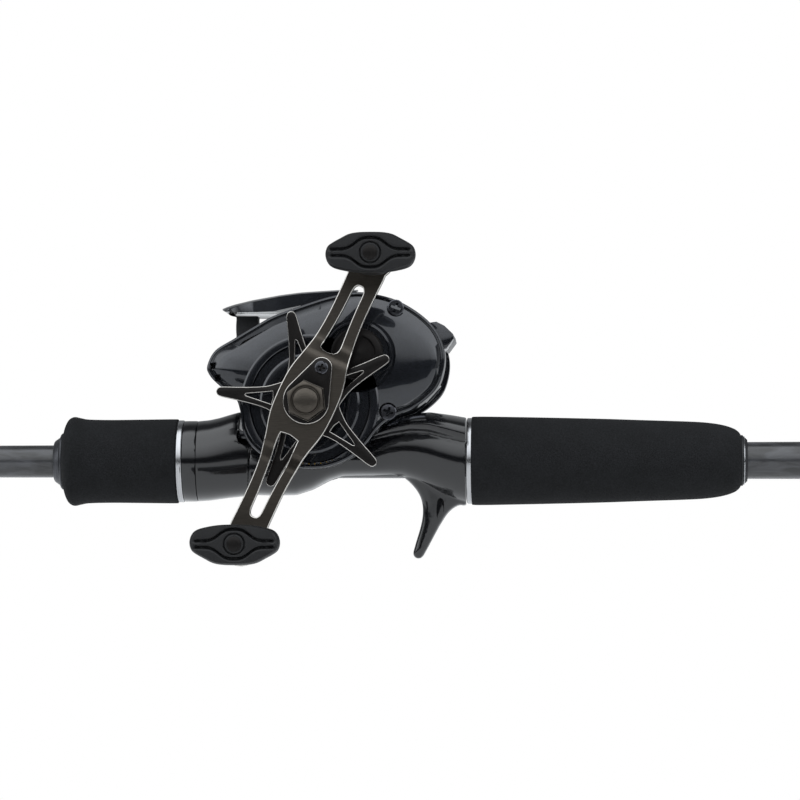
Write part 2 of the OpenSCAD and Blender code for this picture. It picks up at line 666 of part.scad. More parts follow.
module yoke_posts() {
  color("#b9bbbf") at_crank() for (p = post_spots) spot(p) {
    pin_y(-wall_out - 9.5, -wall_in, post_r);
    pin_y(-wall_out - 10.1, -wall_out - 9.5 + eps, post_r + 0.5);
  }
}
module worm_bushes() {
  color("#c9a24a") at_crank() spot(worm_pos) {
    ring_y(-wall_out, -wall_in, journal_r + 1.4, journal_r + run_gap);
    ring_y(wall_in, wall_out, journal_r + 1.4, journal_r + run_gap);
  }
}
module level_wind_rail() {
  color("#b9bbbf") at_crank() spot(rail_pos) pin_y(-wall_out + 0.2, wall_out - 0.2, rail_r);
}

// ---- Crank ----

module crank_shaft() {
  color("#b9bbbf") at_crank() pin_y(hub_out - nut_len + 0.8, -wall_in + 0.6, shaft_r);
}
drag_r = 11 * rs;
drag_depth = 2;
module main_gear() {
  color("#c9a24a") at_crank() difference() {
    slab(main_out, main_in) polygon(gear_pts(main_teeth, gear_mod, spool_dir));
    pin_y(main_out - 1, main_in + 1, shaft_r + 0.02);
    pin_y(main_out - 1, main_out + drag_depth, drag_r + fit_gap);
  }
}
module drag_washers() {
  color("#2c2d30") at_crank() for (i = [0 : 2])
    ring_y(main_out + 0.65 * i, main_out + 0.65 * i + 0.55, drag_r - (i == 1 ? 0.8 : 0), shaft_r + 0.02);
}
module level_wind_drive_gear() {
  color("#e4e0d4") at_crank() difference() {
    slab(wind_in - wind_t, wind_in) polygon(gear_pts(wind_teeth, wind_mod, 138));
    pin_y(wind_in - wind_t - 1, wind_in + 1, shaft_r + 0.02);
  }
}
module ratchet_wheel() {
  color("#9a9ca0") at_crank() difference() {
    slab(ratchet_in - ratchet_t, ratchet_in) polygon([for (k = [0 : ratchet_teeth - 1]) each [
      (ratchet_r - 1.6) * [cos(360 * k / ratchet_teeth), sin(360 * k / ratchet_teeth)],
      (ratchet_r - 0.4) * [cos(360 * (k + 0.7) / ratchet_teeth), sin(360 * (k + 0.7) / ratchet_teeth)]]]);
    pin_y(ratchet_in - ratchet_t - 1, ratchet_in + 1, shaft_r + 0.02);
  }
}

// Plan of the handle, hub at the origin and one arm along X
module handle_plan() {
  e = crank_arm - 46;
  difference() {
    union() {
      polygon([[-44 - e, -5.2], [-27, -5.2], [-20, -5.8], [-14, -6.8], [-8, -8.3], [-4, -8.8], [4, -8.8], [8, -8.3],
        [14, -6.8], [20, -5.8], [27, -5.2], [44 + e, -5.2], [44 + e, 5.2], [27, 5.2], [20, 5.8], [14, 6.8],
        [8, 8.3], [4, 8.8], [-4, 8.8], [-8, 8.3], [-14, 6.8], [-20, 5.8], [-27, 5.2], [-44 - e, 5.2]]);
      for (s = [-1, 1]) translate([s * crank_arm, 0]) circle(6.2);
    }
    circle(shaft_r + 0.02);
    polygon([[16.8, -2.4], [28, -1.9], [36, -1.6], [37, -0.6], [37, 0.6], [36, 1.6], [28, 1.9], [16.8, 2.6], [15.8, 0]]);
    polygon([[-11.6, -3], [-28, -1.9], [-36, -1.6], [-37, -0.6], [-37, 0.6], [-36, 1.6], [-28, 1.9], [-11.6, 3]]);
    for (s = [-1, 1]) translate([s * crank_arm, 0]) circle(spindle_r + 0.02);
  }
}
// Edge view of the handle: the arms step in towards the reel either side of the hub
module handle_edge() {
  w = crank_arm + 8;
  polygon([[-w, arm_in], [-21, arm_in], [-15, hub_in], [13, hub_in], [19, arm_in], [w, arm_in],
    [w, arm_out], [20, arm_out], [14, hub_out], [-16, hub_out], [-22, arm_out], [-w, arm_out]]);
}
module handle() {
  color("#55524f") at_crank() rotate([0, -handle_angle, 0]) intersection() {
    slab(hub_out - 1, arm_in + 1) handle_plan();
    translate([0, 0, -20]) linear_extrude(40) handle_edge();
  }
}
retainer_t = 1.2;
retainer_reach = 10.6;
module handle_nut() {
  color("#4a4745") at_crank() difference() {
    union() {
      rotate([0, -nut_turn, 0]) slab(hub_out - nut_len, hub_out)
        circle(nut_af / 2 / cos(30), $fn = 6);
      pin_y(hub_out - nut_len - 0.8, hub_out - nut_len + eps, 3.8);
    }
    pin_y(hub_out - nut_len + 0.8 - eps, hub_out + 1, shaft_r + 0.02);
  }
}
module nut_retainer() {
  color("#55524f") at_crank() rotate([0, -handle_angle, 0]) slab(hub_out - retainer_t, hub_out) difference() {
    hull() {
      circle(6.8);
      translate([retainer_reach, 0]) circle(3.1);
    }
    rotate(nut_turn - handle_angle) circle(nut_af / 2 / cos(30) + 0.1, $fn = 6);
    translate([retainer_reach, 0]) circle(1.05);
  }
}
module retainer_screw() {
  color("#3b3937") at_crank() rotate([0, -handle_angle, 0]) translate([retainer_reach, 0, 0]) difference() {
    union() {
      pin_y(hub_out - retainer_t - 1, hub_out - retainer_t, 1.9);
      pin_y(hub_out - retainer_t - eps, hub_out, 1);
    }
    translate([-3, hub_out - retainer_t - 2, -0.25]) cube([6, 1.5, 0.5]);
  }
}
module at_knob(s) { at_crank() translate([s * knob_pos[0], 0, s * knob_pos[1]]) children(); }
module knob_spindles() {
  color("#b9bbbf") for (s = [-1, 1]) at_knob(s) {
    pin_y(knob_out + 2.4, arm_in - 0.2, spindle_r);
    pin_y(arm_out - 1, arm_out, spindle_r + 1.4);
  }
}

// ---- Star drag ----

module star_drag() {
  color("#3f3d3c") at_crank() difference() {
    union() {
      slab(star_in - star_t, star_in) for (a = [29 : 72 : 317]) rotate(a) difference() {
        polygon([[0, 8], [6.5, 7], [9, 5], [12.5, 3.3], [18, 2.2], [star_r - 1.6, 1.5], [star_r, 0.6],
          [star_r, -0.6], [star_r - 1.6, -1.5], [18, -2.2], [12.5, -3.3], [9, -5], [6.5, -7], [0, -8]]);
        polygon([[10, 2.2], [18.5, 0.4], [18.5, -0.4], [10, -2.2]]);
      }
      pin_y(star_in - star_t, star_in, 8.8);
      pin_y(star_in - 1, star_back, 6);
    }
    pin_y(star_in - star_t - 1, star_back + 1, shaft_r + run_gap);
  }
}

// ---- Knobs ----

knob_tall = 11.6;
module knob_outline() {
  l = knob_len / 2;
  h = knob_tall / 2;
  polygon([[-l, -0.4], [-l + 0.7, 2.2], [-l + 2.6, 3.5], [-6.4, h - 0.3], [-4, h], [4, h], [6.4, h - 0.3],
    [l - 2.6, 3.5], [l - 0.7, 2.2], [l, -0.4], [l - 0.8, -2.9], [l - 2.6, -4.2], [6.8, -h + 0.2], [4, -h],
    [-4, -h], [-6.8, -h + 0.2], [-l + 2.6, -4.2], [-l + 0.8, -2.9]]);
}
module knob(s) {
  color("#232427") at_knob(s) difference() {
    union() {
      slab(knob_out, knob_out + 14) rotate(s > 0 ? 0 : 180) knob_outline();
      slab(knob_out + 13.9, knob_in) rotate(s > 0 ? 0 : 180) intersection() {
        knob_outline();
        circle(8);
      }
    }
    pin_y(knob_out - 1, knob_in + 1, spindle_r + run_gap);
    pin_y(knob_out - 1, knob_out + 1.2, 2.8);
  }
}
module knob_cap(s) { color("#3b3937") at_knob(s) pin_y(knob_out + 0.1, knob_out + 1.2, 2.75); }
module knob_1() { knob(1); }
module knob_2() { knob(-1); }
module knob_cap_1() { knob_cap(1); }
module knob_cap_2() { knob_cap(-1); }

// ---- Spool, pinion and clutch ----

flange_out = wall_in - 2;
arbor_r = 8 * rs;
pin_at = -(wall_in + 1.5);                     // cross pin that the pinion engages
module spool() {
  color("#c9cacd") at_spool() difference() {
    union() {
      pin_y(-flange_out, flange_out, arbor_r);
      for (s = [-1, 1]) pin_y(s < 0 ? -flange_out : flange_out - 1, s < 0 ? -flange_out + 1 : flange_out, spool_r);
    }
    pin_y(-flange_out - 1, flange_out + 1, spool_shaft_r + 0.02);
    pin_y(flange_out - 6, flange_out + 1, arbor_r - 1.6);
  }
}
module spool_shaft() {
  color("#b9bbbf") at_spool() {
    pin_y(gear_face_y - 2.7, wall_out + 6.3, spool_shaft_r);
    translate([0, pin_at, -2.7]) cylinder(h = 5.4, r = 0.55, $fn = 24);
  }
}
module brake_rotor() {
  color("#a9642f") at_spool() ring_y(flange_out - 5, magnet_in - 0.5, 5 * rs, spool_shaft_r + 0.02);
}
pinion_end = pin_at + 0.6;
pinion_teeth_in = main_in + clutch_travel + 0.2;
yoke_t = 1.4;
yoke_y = -(wall_out + 3.6);                    // middle of the groove that the yoke sits in
module pinion_gear() {
  bore = spool_shaft_r + run_gap;
  color("#c9a24a") at_spool() difference() {
    union() {
      slab(main_out - 1.4, pinion_teeth_in)
        polygon(gear_pts(pinion_teeth, gear_mod, mesh_phase(spool_dir, spool_dir, main_teeth, pinion_teeth)));
      pin_y(pinion_teeth_in - eps, yoke_y - yoke_t / 2 - 0.1, 2.9);
      pin_y(yoke_y - yoke_t / 2 - 0.2, yoke_y + yoke_t / 2 + 0.2, 2.3);
      pin_y(yoke_y + yoke_t / 2 + 0.1, pinion_end, 3);
    }
    pin_y(-60, 0, bore);
    translate([-0.65, pin_at - 0.7, -4]) cube([1.3, 3, 8]);
  }
}
module clutch_yoke() {
  color("#9a9ca0") at_crank() difference() {
    slab(yoke_y - yoke_t / 2, yoke_y + yoke_t / 2) difference() {
      union() {
        for (p = post_spots) translate(p) circle(2);
        translate(spool_pos) rotate(post_dir) translate([-post_off, -0.5]) square([2 * post_off, 5]);
      }
      translate(spool_pos) rotate(post_dir) translate([-2.5, -8]) square([5, 8]);
      translate(spool_pos) circle(2.5);
      for (p = post_spots) translate(p) circle(post_r + run_gap);
    }
  }
}
module thumb_bar() {
  color("#3a3c41") at_crank() {
    slab(-wall_in + side_gap, wall_in - side_gap) polygon(thumb_pts);
    translate([34 * rs, -wall_out - 0.8, 16.7 * rs]) cube([2.8 * rs, frame_wall + 2, 3.2 * rs]);
  }
}
module cast_control_cap() {
  color("#3f3d3c") at_spool() difference() {
    union() {
      pin_y(cap_face + 0.7, gear_face_y - 0.3, cast_r);
      pin_y(cap_face, cap_face + 0.8, cast_r - 0.8);
    }
    pin_y(cap_face + 1.1, gear_face_y + 1, cast_boss_r + run_gap);
    for (a = [0 : 15 : 345]) rotate([0, a, 0]) translate([cast_r + 0.35, 0, 0])
      pin_y(cap_face + 0.9, gear_face_y, 0.7);
  }
}

// ---- Level wind ----

idler_phase = mesh_phase(138, 138, wind_teeth, idler_teeth);
module idler_gear() {
  color("#e4e0d4") at_crank() spot(idler_pos) difference() {
    slab(wind_in - wind_t, wind_in) polygon(gear_pts(idler_teeth, wind_mod, idler_phase));
    pin_y(wind_in - wind_t - 1, wind_in + 1, 1 + run_gap);
  }
}
module worm_gear() {
  color("#e4e0d4") at_crank() spot(worm_pos) difference() {
    slab(wind_in - wind_t, wind_in)
      polygon(gear_pts(worm_teeth, wind_mod, mesh_phase(149, idler_phase, idler_teeth, worm_teeth)));
    pin_y(wind_in - wind_t - 1, wind_in + 1, journal_r + 0.02);
  }
}
module worm_shaft() {
  color("#c9a24a") at_crank() spot(worm_pos) {
    pin_y(-wall_in + 0.2, wall_in - 0.2, worm_r);
    pin_y(wind_in - wind_t - 0.4, wall_out, journal_r);
  }
}
eye_top = 27.4 * rs;                           // top of the line guide, under the cowl
guide_w = frame_gap - 2 * guide_travel - 2.6;
eye_pos = [worm_pos[0] - 2.2, eye_top - 3.4];
module line_guide() {
  color("#2c2d30") at_crank() difference() {
    union() {
      translate([eye_pos[0] - 3.2, -guide_w / 2, rail_pos[1] + 0.2])
        cube([6.4, guide_w, eye_top - rail_pos[1] - 0.2]);
      translate([worm_pos[0] - 2.6, -guide_w / 2, worm_pos[1] + 1])
        cube([5.2, guide_w, rail_pos[1] - worm_pos[1] + 0.6]);
      spot(worm_pos) pin_y(-guide_w / 2, guide_w / 2, worm_r + 1.2);
    }
    spot(worm_pos) pin_y(-guide_w, guide_w, worm_r + run_gap);
    spot(rail_pos) pin_y(-guide_w, guide_w, rail_r + run_gap);
    translate([eye_pos[0] - 5, 0, eye_pos[1]]) pin_x(0, 10, 2.5, 2.5);
    spot(worm_pos) translate([0, 0, -6]) cylinder(h = 5, r = 1.25);
  }
}
module line_guide_insert() {
  color("#d8cfb8") at_crank() translate([eye_pos[0] - 3.4, 0, eye_pos[1]]) difference() {
    pin_x(0, 6.8, 2.5, 2.5);
    pin_x(-1, 8, 1.7, 1.7);
  }
}
module line_guide_pawl() {
  color("#b9bbbf") at_crank() spot(worm_pos) translate([0, 0, -worm_r - 1.5]) cylinder(h = 1.4, r = 1.2);
}

blank();
butt_cap();
butt_grip();
rear_check();
rear_grip();
rear_trim_ring();
reel_seat();
guide_frames();
guide_rings();
guide_wraps();
tip_top();
seat_hood();
lock_nut();
lock_collar();
front_trim_ring();
front_grip();
front_check();
reel_frame();
top_cover();
gear_side_plate();
side_plate_screws();
palm_plate();
main_shaft_bearing();
one_way_bearing();
spool_bearings();
ratchet_pawl();
yoke_posts();
worm_bushes();
level_wind_rail();
crank_shaft();
main_gear();
drag_washers();
level_wind_drive_gear();
ratchet_wheel();
handle();
handle_nut();
nut_retainer();
retainer_screw();
knob_spindles();
star_drag();
knob_1();
knob_cap_1();
knob_2();
knob_cap_2();
spool();
spool_shaft();
brake_rotor();
pinion_gear();
clutch_yoke();
thumb_bar();
cast_control_cap();
brake_dial();
magnet_holder();
brake_magnets();
idler_gear();
worm_shaft();
worm_gear();
line_guide();
line_guide_insert();
line_guide_pawl();
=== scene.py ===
import json
import math

import bmesh
import bpy
from mathutils import Matrix, Vector


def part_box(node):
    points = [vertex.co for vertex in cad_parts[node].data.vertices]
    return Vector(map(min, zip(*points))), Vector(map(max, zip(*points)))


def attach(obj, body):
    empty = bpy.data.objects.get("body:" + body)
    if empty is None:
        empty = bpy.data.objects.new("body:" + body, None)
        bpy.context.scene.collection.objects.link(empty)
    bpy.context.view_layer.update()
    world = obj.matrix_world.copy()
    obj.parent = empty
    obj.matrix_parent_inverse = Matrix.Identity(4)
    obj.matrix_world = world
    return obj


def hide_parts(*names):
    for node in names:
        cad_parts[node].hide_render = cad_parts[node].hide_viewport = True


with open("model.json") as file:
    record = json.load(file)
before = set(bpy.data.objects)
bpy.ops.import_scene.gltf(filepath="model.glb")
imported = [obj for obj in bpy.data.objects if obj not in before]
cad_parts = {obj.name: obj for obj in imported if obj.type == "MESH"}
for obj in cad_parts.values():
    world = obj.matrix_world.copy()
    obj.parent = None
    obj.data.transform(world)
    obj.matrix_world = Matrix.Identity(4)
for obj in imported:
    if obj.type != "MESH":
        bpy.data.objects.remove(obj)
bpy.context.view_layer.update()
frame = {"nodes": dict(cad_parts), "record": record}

joints = {j["name"]: j for j in frame["record"]["behaviour"]["joints"]}
MM = 0.001


# ---- Camera ----
# The camera stands level with the grip, a little towards the butt and a little below the rod,
# about 1.3 m away, with a long lens.

crank = Vector(joints["crank_spin"]["pos_m"])
spool_axis = Vector(joints["spool_spin"]["pos_m"])
camera = bpy.data.objects.new("camera", bpy.data.cameras.new("camera"))
bpy.context.collection.objects.link(camera)
camera_stand_off = 1.3
camera.location = (crank.x + 0.0851, -camera_stand_off, -0.0417)
aim = Vector((crank.x + 0.0251, 0, 0.0183))
camera.rotation_euler = (aim - camera.location).to_track_quat("-Z", "Y").to_euler()
camera.data.sensor_width = 36
frame_width = 0.24                   # what the picture spans at the rod's axis
camera.data.lens = camera.data.sensor_width * (aim - camera.location).length / frame_width
camera.data.clip_start = 0.01
bpy.context.scene.camera = camera
bpy.context.scene.view_settings.view_transform = "Standard"


# ---- Blank ----
# A hollow tapered tube rolled from carbon cloth, sanded and dipped in clear coat. Under the coat the
# cloth shows as a darker and lighter marbling that runs along the rod.

def linear(code):
    """An sRGB hex colour as linear RGBA."""
    parts = [int(code[i:i + 2], 16) / 255 for i in (1, 3, 5)]
    return [p / 12.92 if p < 0.04045 else ((p + 0.055) / 1.055) ** 2.4 for p in parts] + [1]


def add(tree, kind, settings=None, **inputs):
    """Adds a node with its settings; an input is a value or another node's output socket."""
    node = tree.nodes.new(kind)
    for key, value in (settings or {}).items():
        setattr(node, key, value)
    for name, value in inputs.items():
        socket = node.inputs[int(name[1:])] if name[0] == "_" else node.inputs[name.replace("_", " ")]
        if isinstance(value, bpy.types.NodeSocket):
            tree.links.new(value, socket)
        else:
            socket.default_value = value
    return node


def new_material(name, **values):
    """A material with one Principled shader, its plain values set on the shader's own sockets."""
    material = bpy.data.materials.new(name)
    material.use_nodes = True
    shader = material.node_tree.nodes["Principled BSDF"]
    for key, value in values.items():
        shader.inputs[key.replace("_", " ")].default_value = value
    return material, material.node_tree, shader


def patterned(name, dark, light, scale=1.0, detail=2.0, distortion=0.0, stretch=None, turn=(0, 0, 0),
              stops=(0.0, 1.0), bump=None, **values):
    """A material whose colour runs from dark to light over noise in the piece's own metres.

    stretch scales the noise apart along the axes, and bump is (strength, depth in metres)."""
    material, tree, shader = new_material(name, **values)
    place = add(tree, "ShaderNodeTexCoord").outputs["Object"]
    if stretch:
        place = add(tree, "ShaderNodeMapping", Vector=place, Rotation=turn, Scale=stretch).outputs[0]
    noise = add(tree, "ShaderNodeTexNoise", Vector=place, Scale=scale, Detail=detail,
        Distortion=distortion)
    ramp = add(tree, "ShaderNodeValToRGB", Fac=noise.outputs["Fac"])
    for stop, position, colour in zip(ramp.color_ramp.elements, stops, (dark, light)):
        stop.position = position
        stop.color = linear(colour)
    tree.links.new(ramp.outputs["Color"], shader.inputs["Base Color"])
    if bump:
        height = add(tree, "ShaderNodeBump", Strength=bump[0], Distance=bump[1],
            Height=noise.outputs["Fac"])
        tree.links.new(height.outputs["Normal"], shader.inputs["Normal"])
    return material


def link_mesh(name, bm, *materials):
    """Makes an object at the origin from a mesh in metres, with its faces pointing outwards."""
    bmesh.ops.remove_doubles(bm, verts=bm.verts, dist=1e-7)
    bmesh.ops.recalc_face_normals(bm, faces=bm.faces)
    mesh = bpy.data.meshes.new(name)
    bm.to_mesh(mesh)
    bm.free()
    piece = bpy.data.objects.new(name, mesh)
    bpy.context.collection.objects.link(piece)
    for material in materials:
        mesh.materials.append(material)
    return piece


def crisp(piece, angle=32):
    """Shades smooth, with sharp edges where faces meet at more than the angle."""
    piece.data.polygons.foreach_set("use_smooth", [True] * len(piece.data.polygons))
    piece.data.set_sharp_from_angle(angle=math.radians(angle))
    return piece


def turned(profile, axis="X", centre=(0, 0, 0), steps=96, closed=True):
    """A mesh turned on a lathe. Profile points are (place along the axis, radius) in millimetres."""
    bm = bmesh.new()
    rings = []
    for along, radius in profile:
        ring = []
        for i in range(steps if radius > 1e-6 else 1):
            a = math.tau * i / steps
            u, v = radius * math.cos(a), radius * math.sin(a)
            place = (along, u, v) if axis == "X" else (u, along, v)
            ring.append(bm.verts.new(Vector(place) * MM + Vector(centre)))
        rings.append(ring)
    pairs = list(zip(rings, rings[1:]))
    if closed:
        pairs.append((rings[-1], rings[0]))
    for one, two in pairs:
        if len(one) == 1 and len(two) == 1:
            continue
        for i in range(steps):
            j = (i + 1) % steps
            corners = [one[i % len(one)], one[j % len(one)], two[j % len(two)], two[i % len(two)]]
            bm.faces.new(list(dict.fromkeys(corners)))
    return bm


def fit(piece, body, slot, *nodes):
    """Rides the piece on its body, in place of the CAD nodes that it stands for."""
    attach(piece, body)
    if nodes:
        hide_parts(*nodes)
    return piece


# Rolled prepreg cloth: streaks about 12 mm long and 1.5 mm wide, under a smooth 0.1 mm coat.
carbon = patterned(
    "carbon_under_clear_coat", "#0b0c0d", "#3c3d41", stretch=(90, 420, 420), detail=5.0, distortion=0.9,
    stops=(0.36, 0.68), Roughness=0.5, Coat_Weight=0.8, Coat_Roughness=0.08)
low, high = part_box("blank")
fore_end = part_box("front_check")[0].x * 1000
butt_radius, fore_radius, tip_radius = 6.0, 4.85, 0.9
wall = 1.2
blank_profile = [
    (high.x * 1000, butt_radius), (fore_end, fore_radius), (low.x * 1000, tip_radius),
    (low.x * 1000, tip_radius * 0.45), (fore_end, fore_radius - wall), (high.x * 1000, butt_radius - wall)]
blank = crisp(link_mesh("blank_tube", turned(blank_profile, steps=64), carbon))
fit(blank, "rod", "carbon_blank", "blank")


# ---- Foam grips ----
# Closed-cell EVA foam, turned and sanded on the blank, so the skin is a dead-matt charcoal with the
# fine grain of cut cells. The fore grip has a raised front lip; the rear grip tapers to the butt.

def sanded_eva_foam():
    # Cells of about 0.3 mm cut open by sanding, drawn at 0.45 mm so that they show.
    material, tree, shader = new_material("sanded_eva_foam", Roughness=0.96, Specular_IOR_Level=0.25)
    place = add(tree, "ShaderNodeTexCoord")
    cells = add(tree, "ShaderNodeTexNoise", Vector=place.outputs["Object"], Scale=2200.0, Detail=3.0,
        Roughness=0.6)
    cloud = add(tree, "ShaderNodeTexNoise", Vector=place.outputs["Object"], Scale=160.0, Detail=4.0)
    both = add(tree, "ShaderNodeMix", {"data_type": "FLOAT"}, _0=0.3, _2=cells.outputs["Fac"],
        _3=cloud.outputs["Fac"])
    ramp = add(tree, "ShaderNodeValToRGB", Fac=both.outputs[0])
    ramp.color_ramp.elements[0].position = 0.36
    ramp.color_ramp.elements[0].color = linear("#131415")
    ramp.color_ramp.elements[1].position = 0.64
    ramp.color_ramp.elements[1].color = linear("#1e1f21")
    bump = add(tree, "ShaderNodeBump", Strength=0.5, Distance=0.00022, Height=cells.outputs["Fac"])
    tree.links.new(ramp.outputs["Color"], shader.inputs["Base Color"])
    tree.links.new(bump.outputs["Normal"], shader.inputs["Normal"])
    return material


def smooth_profile(points, steps=6):
    """Rounds a profile with a Catmull-Rom curve through its points."""
    out = []
    for i in range(len(points) - 1):
        near = (i - 1, i, i + 1, i + 2)
        p0, p1, p2, p3 = (Vector(points[min(max(k, 0), len(points) - 1)]) for k in near)
        for s in range(steps):
            t = s / steps
            out.append(tuple(0.5 * (2 * p1 + (p2 - p0) * t + (2 * p0 - 5 * p1 + 4 * p2 - p3) * t * t
                                    + (3 * p1 - p0 - 3 * p2 + p3) * t ** 3)))
    return out + [tuple(points[-1])]


foam = sanded_eva_foam()
low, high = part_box("front_grip")
x0, x1, r = low.x * 1000, high.x * 1000, high.y * 1000
bore = fore_radius + 0.5
fore_skin = smooth_profile([
    (x0, r - 4.9), (x0 + 0.35, r - 4.2), (x0 + 0.9, r - 2.4), (x0 + 1.7, r - 0.9), (x0 + 2.7, r - 0.15),
    (x0 + 3.8, r), (x0 + 5.4, r - 0.35), (x0 + 8, r - 0.75), (x0 + 15, r - 0.88), (x0 + 24, r - 0.8),
    (x1 - 1.2, r - 0.7), (x1 - 0.4, r - 0.85), (x1, r - 1.3)])
fore_back = [(x1, 9.9), (x0 + 3.5, 9.9), (x0 + 3.5, bore), (x0, bore)]
fore_grip = crisp(link_mesh("fore_grip_foam", turned(fore_skin + fore_back), foam), 50)
fit(fore_grip, "locking_nut", "eva_foam", "front_grip")

low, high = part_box("rear_grip")
x0, x1, r = low.x * 1000, high.x * 1000, high.y * 1000
bore = 5.62
rear_skin = smooth_profile([
    (x0, r - 0.5), (x0 + 0.5, r - 0.05), (x0 + 13, r - 0.2), (x0 + 36, r - 0.7), (x1 - 30, r - 1.15),
    (x1 - 15, r - 1.65), (x1 - 9, r - 2.1), (x1 - 5, r - 2.8), (x1 - 2.2, r - 3.75), (x1 - 0.8, r - 4.7),
    (x1 - 0.15, r - 5.6), (x1, r - 6.2)])
rear_grip = crisp(link_mesh("rear_grip_foam", turned(rear_skin + [(x1, bore), (x0, bore)]), foam), 50)
fit(rear_grip, "rod", "eva_foam", "rear_grip")

low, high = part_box("butt_grip")
x0, x1, r = low.x * 1000, high.x * 1000, high.y * 1000
bore = butt_radius + 0.05
butt_skin = smooth_profile([
    (x0, r - 6.4), (x0 + 0.3, r - 5.2), (x0 + 1.5, r - 3.6), (x0 + 6, r - 2), (x0 + 16, r - 1.2),
    (x0 + 30, r - 1.5), (x1 - 12, r - 0.6), (x1 - 0.5, r - 0.02), (x1, r - 0.3)])
butt_grip = crisp(link_mesh("butt_grip_foam", turned(butt_skin + [(x1, bore), (x0, bore)]), foam), 50)
fit(butt_grip, "rod", "eva_foam", "butt_grip")


# Tool texture of spark erosion, about 0.25 mm grain, on a slightly greasy black.
rubber = patterned(
    "moulded_rubber", "#111214", "#1d1e21", scale=3600.0, bump=(0.35, 0.00008), Roughness=0.6,
    Specular_IOR_Level=0.4)

# Lathe-turned and polished: bright, with turning marks every 0.2 mm left in the gloss.
silver = patterned(
    "polished_aluminium", "#9fa0a3", "#d3d4d6", stretch=(5000, 60, 60), Metallic=1.0,
    Roughness=0.22)
low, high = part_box("butt_cap")
r = high.y * 1000
cap_skin = smooth_profile([(-3, r), (-1.6, r - 0.25), (-0.5, r - 1.2), (0, r - 3)], 5)
cap = crisp(link_mesh("butt_cap_rubber", turned(
    [(-0.6, 0), (-0.6, r - 5.5), (0, r - 5)] + cap_skin[::-1]
    + [(-4, r), (-4.3, r - 0.35), (-4.9, r - 0.35), (-5.2, r), (-6.4, r), (-6.7, r - 0.35),
    (-7.3, r - 0.35),
       (-7.6, r), (-12, r), (-12, 6.1), (-8.9, 6.1), (-8.9, 0)], closed=False), rubber), 30)
fit(cap, "rod", "rubber_black", "butt_cap")

low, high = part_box("rear_check")
x0, r = low.x * 1000, high.y * 1000
check = crisp(link_mesh("rear_check_collar", turned(
    [(x0, 5.62), (x0, r), (x0 + 0.5, r - 0.05), (x0 + 0.62, r - 0.45), (x0 + 1.3, r - 0.9),
     (x0 + 1.8, r - 1.4), (x0 + 1.8, 5.62)]), rubber), 30)
fit(check, "rod", "rubber_black", "rear_check")
glint = crisp(link_mesh("rear_check_ring", turned(
    [(x0 + 0.6, 5.6), (x0 + 0.6, r - 0.42), (x0 + 0.8, r - 0.32), (x0 + 1.0, r - 0.45),
    (x0 + 1.0, 5.6)]), silver))
fit(glint, "rod", "silver_trim")


# ---- Silver trim rings and front check ----
# Thin turned aluminium rings glued at the ends of the foam, polished, with broken edges.

def trim_ring(name, node, bore, body):
    low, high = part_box(node)
    a, b, r = low.x * 1000, high.x * 1000, high.y * 1000
    edge = 0.3
    profile = [(a, bore), (a, r - edge), (a + 0.1, r - 0.1), (a + edge, r), (b - edge, r),
        (b - 0.1, r - 0.1),
               (b, r - edge), (b, bore)]
    fit(crisp(link_mesh(name, turned(profile, steps=128), silver), 40), body, "silver_trim", node)


trim_ring("rear_ring", "rear_trim_ring", 5.7, "rod")
trim_ring("front_ring", "front_trim_ring", 10.0, "locking_nut")
low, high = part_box("front_check")
x0, x1, r = low.x * 1000, high.x * 1000, high.y * 1000
bore = fore_radius + 0.5

# Dark satin anodising over turning marks every 0.2 mm.
smoked = patterned(
    "satin_aluminium", "#3f4043", "#5c5d61", stretch=(5000, 60, 60), Metallic=0.9,
    Roughness=0.35)
cone = crisp(link_mesh("front_check_cone", turned(
    [(x0, bore), (x0, bore + 0.5), (x0 + 0.3, bore + 0.9), (x0 + 1.7, r - 1.2), (x0 + 2.0, r - 0.4),
     (x0 + 2.3, r), (x1, r), (x1, bore)]), smoked), 25)
fit(cone, "locking_nut", "silver_trim", "front_check")


# ---- Reel seat, hood and locking collar ----
# Injection-moulded graphite nylon, polished black. The seat grips the blank, holds the reel foot
# under its rear hood and carries the finger trigger; the front hood slides on a threaded barrel.

def between(stations, x):
    """Reads a table of stations (place, values...) at x, with smooth steps between them."""
    for one, two in zip(stations, stations[1:]):
        if x <= two[0]:
            t = max(0.0, (x - one[0]) / (two[0] - one[0]))
            return [a + (b - a) * t for a, b in zip(one[1:], two[1:])]
    return list(stations[-1][1:])


def skinned(bm, rings):
    """Joins each ring of points to the next and closes both ends."""
    for one, two in zip(rings, rings[1:]):
        for i in range(len(one)):
            j = (i + 1) % len(one)
            bm.faces.new((one[i], one[j], two[j], two[i]))
    bm.faces.new(rings[0])
    bm.faces.new(rings[-1])
    return bm


def lofted(stations, x0, x1, step=1.0, around=72):
    """A bar along the rod whose stations give (x, half width, top, bottom, roundness)."""
    bm = bmesh.new()
    rings = []
    count = max(2, round((x1 - x0) / step))
    for i in range(count + 1):
        x = x0 + (x1 - x0) * i / count
        wide, top, bottom, square = between(stations, x)
        mid, tall = (top + bottom) / 2, (top - bottom) / 2
        ring = []
        for k in range(around):
            a = math.tau * k / around
            c, s = math.cos(a), math.sin(a)
            y = wide * math.copysign(abs(c) ** square, c)
            z = mid + tall * math.copysign(abs(s) ** square, s)
            ring.append(bm.verts.new(Vector((crank.x * 1000 + x, y, z)) * MM))
        rings.append(ring)
    return skinned(bm, rings)


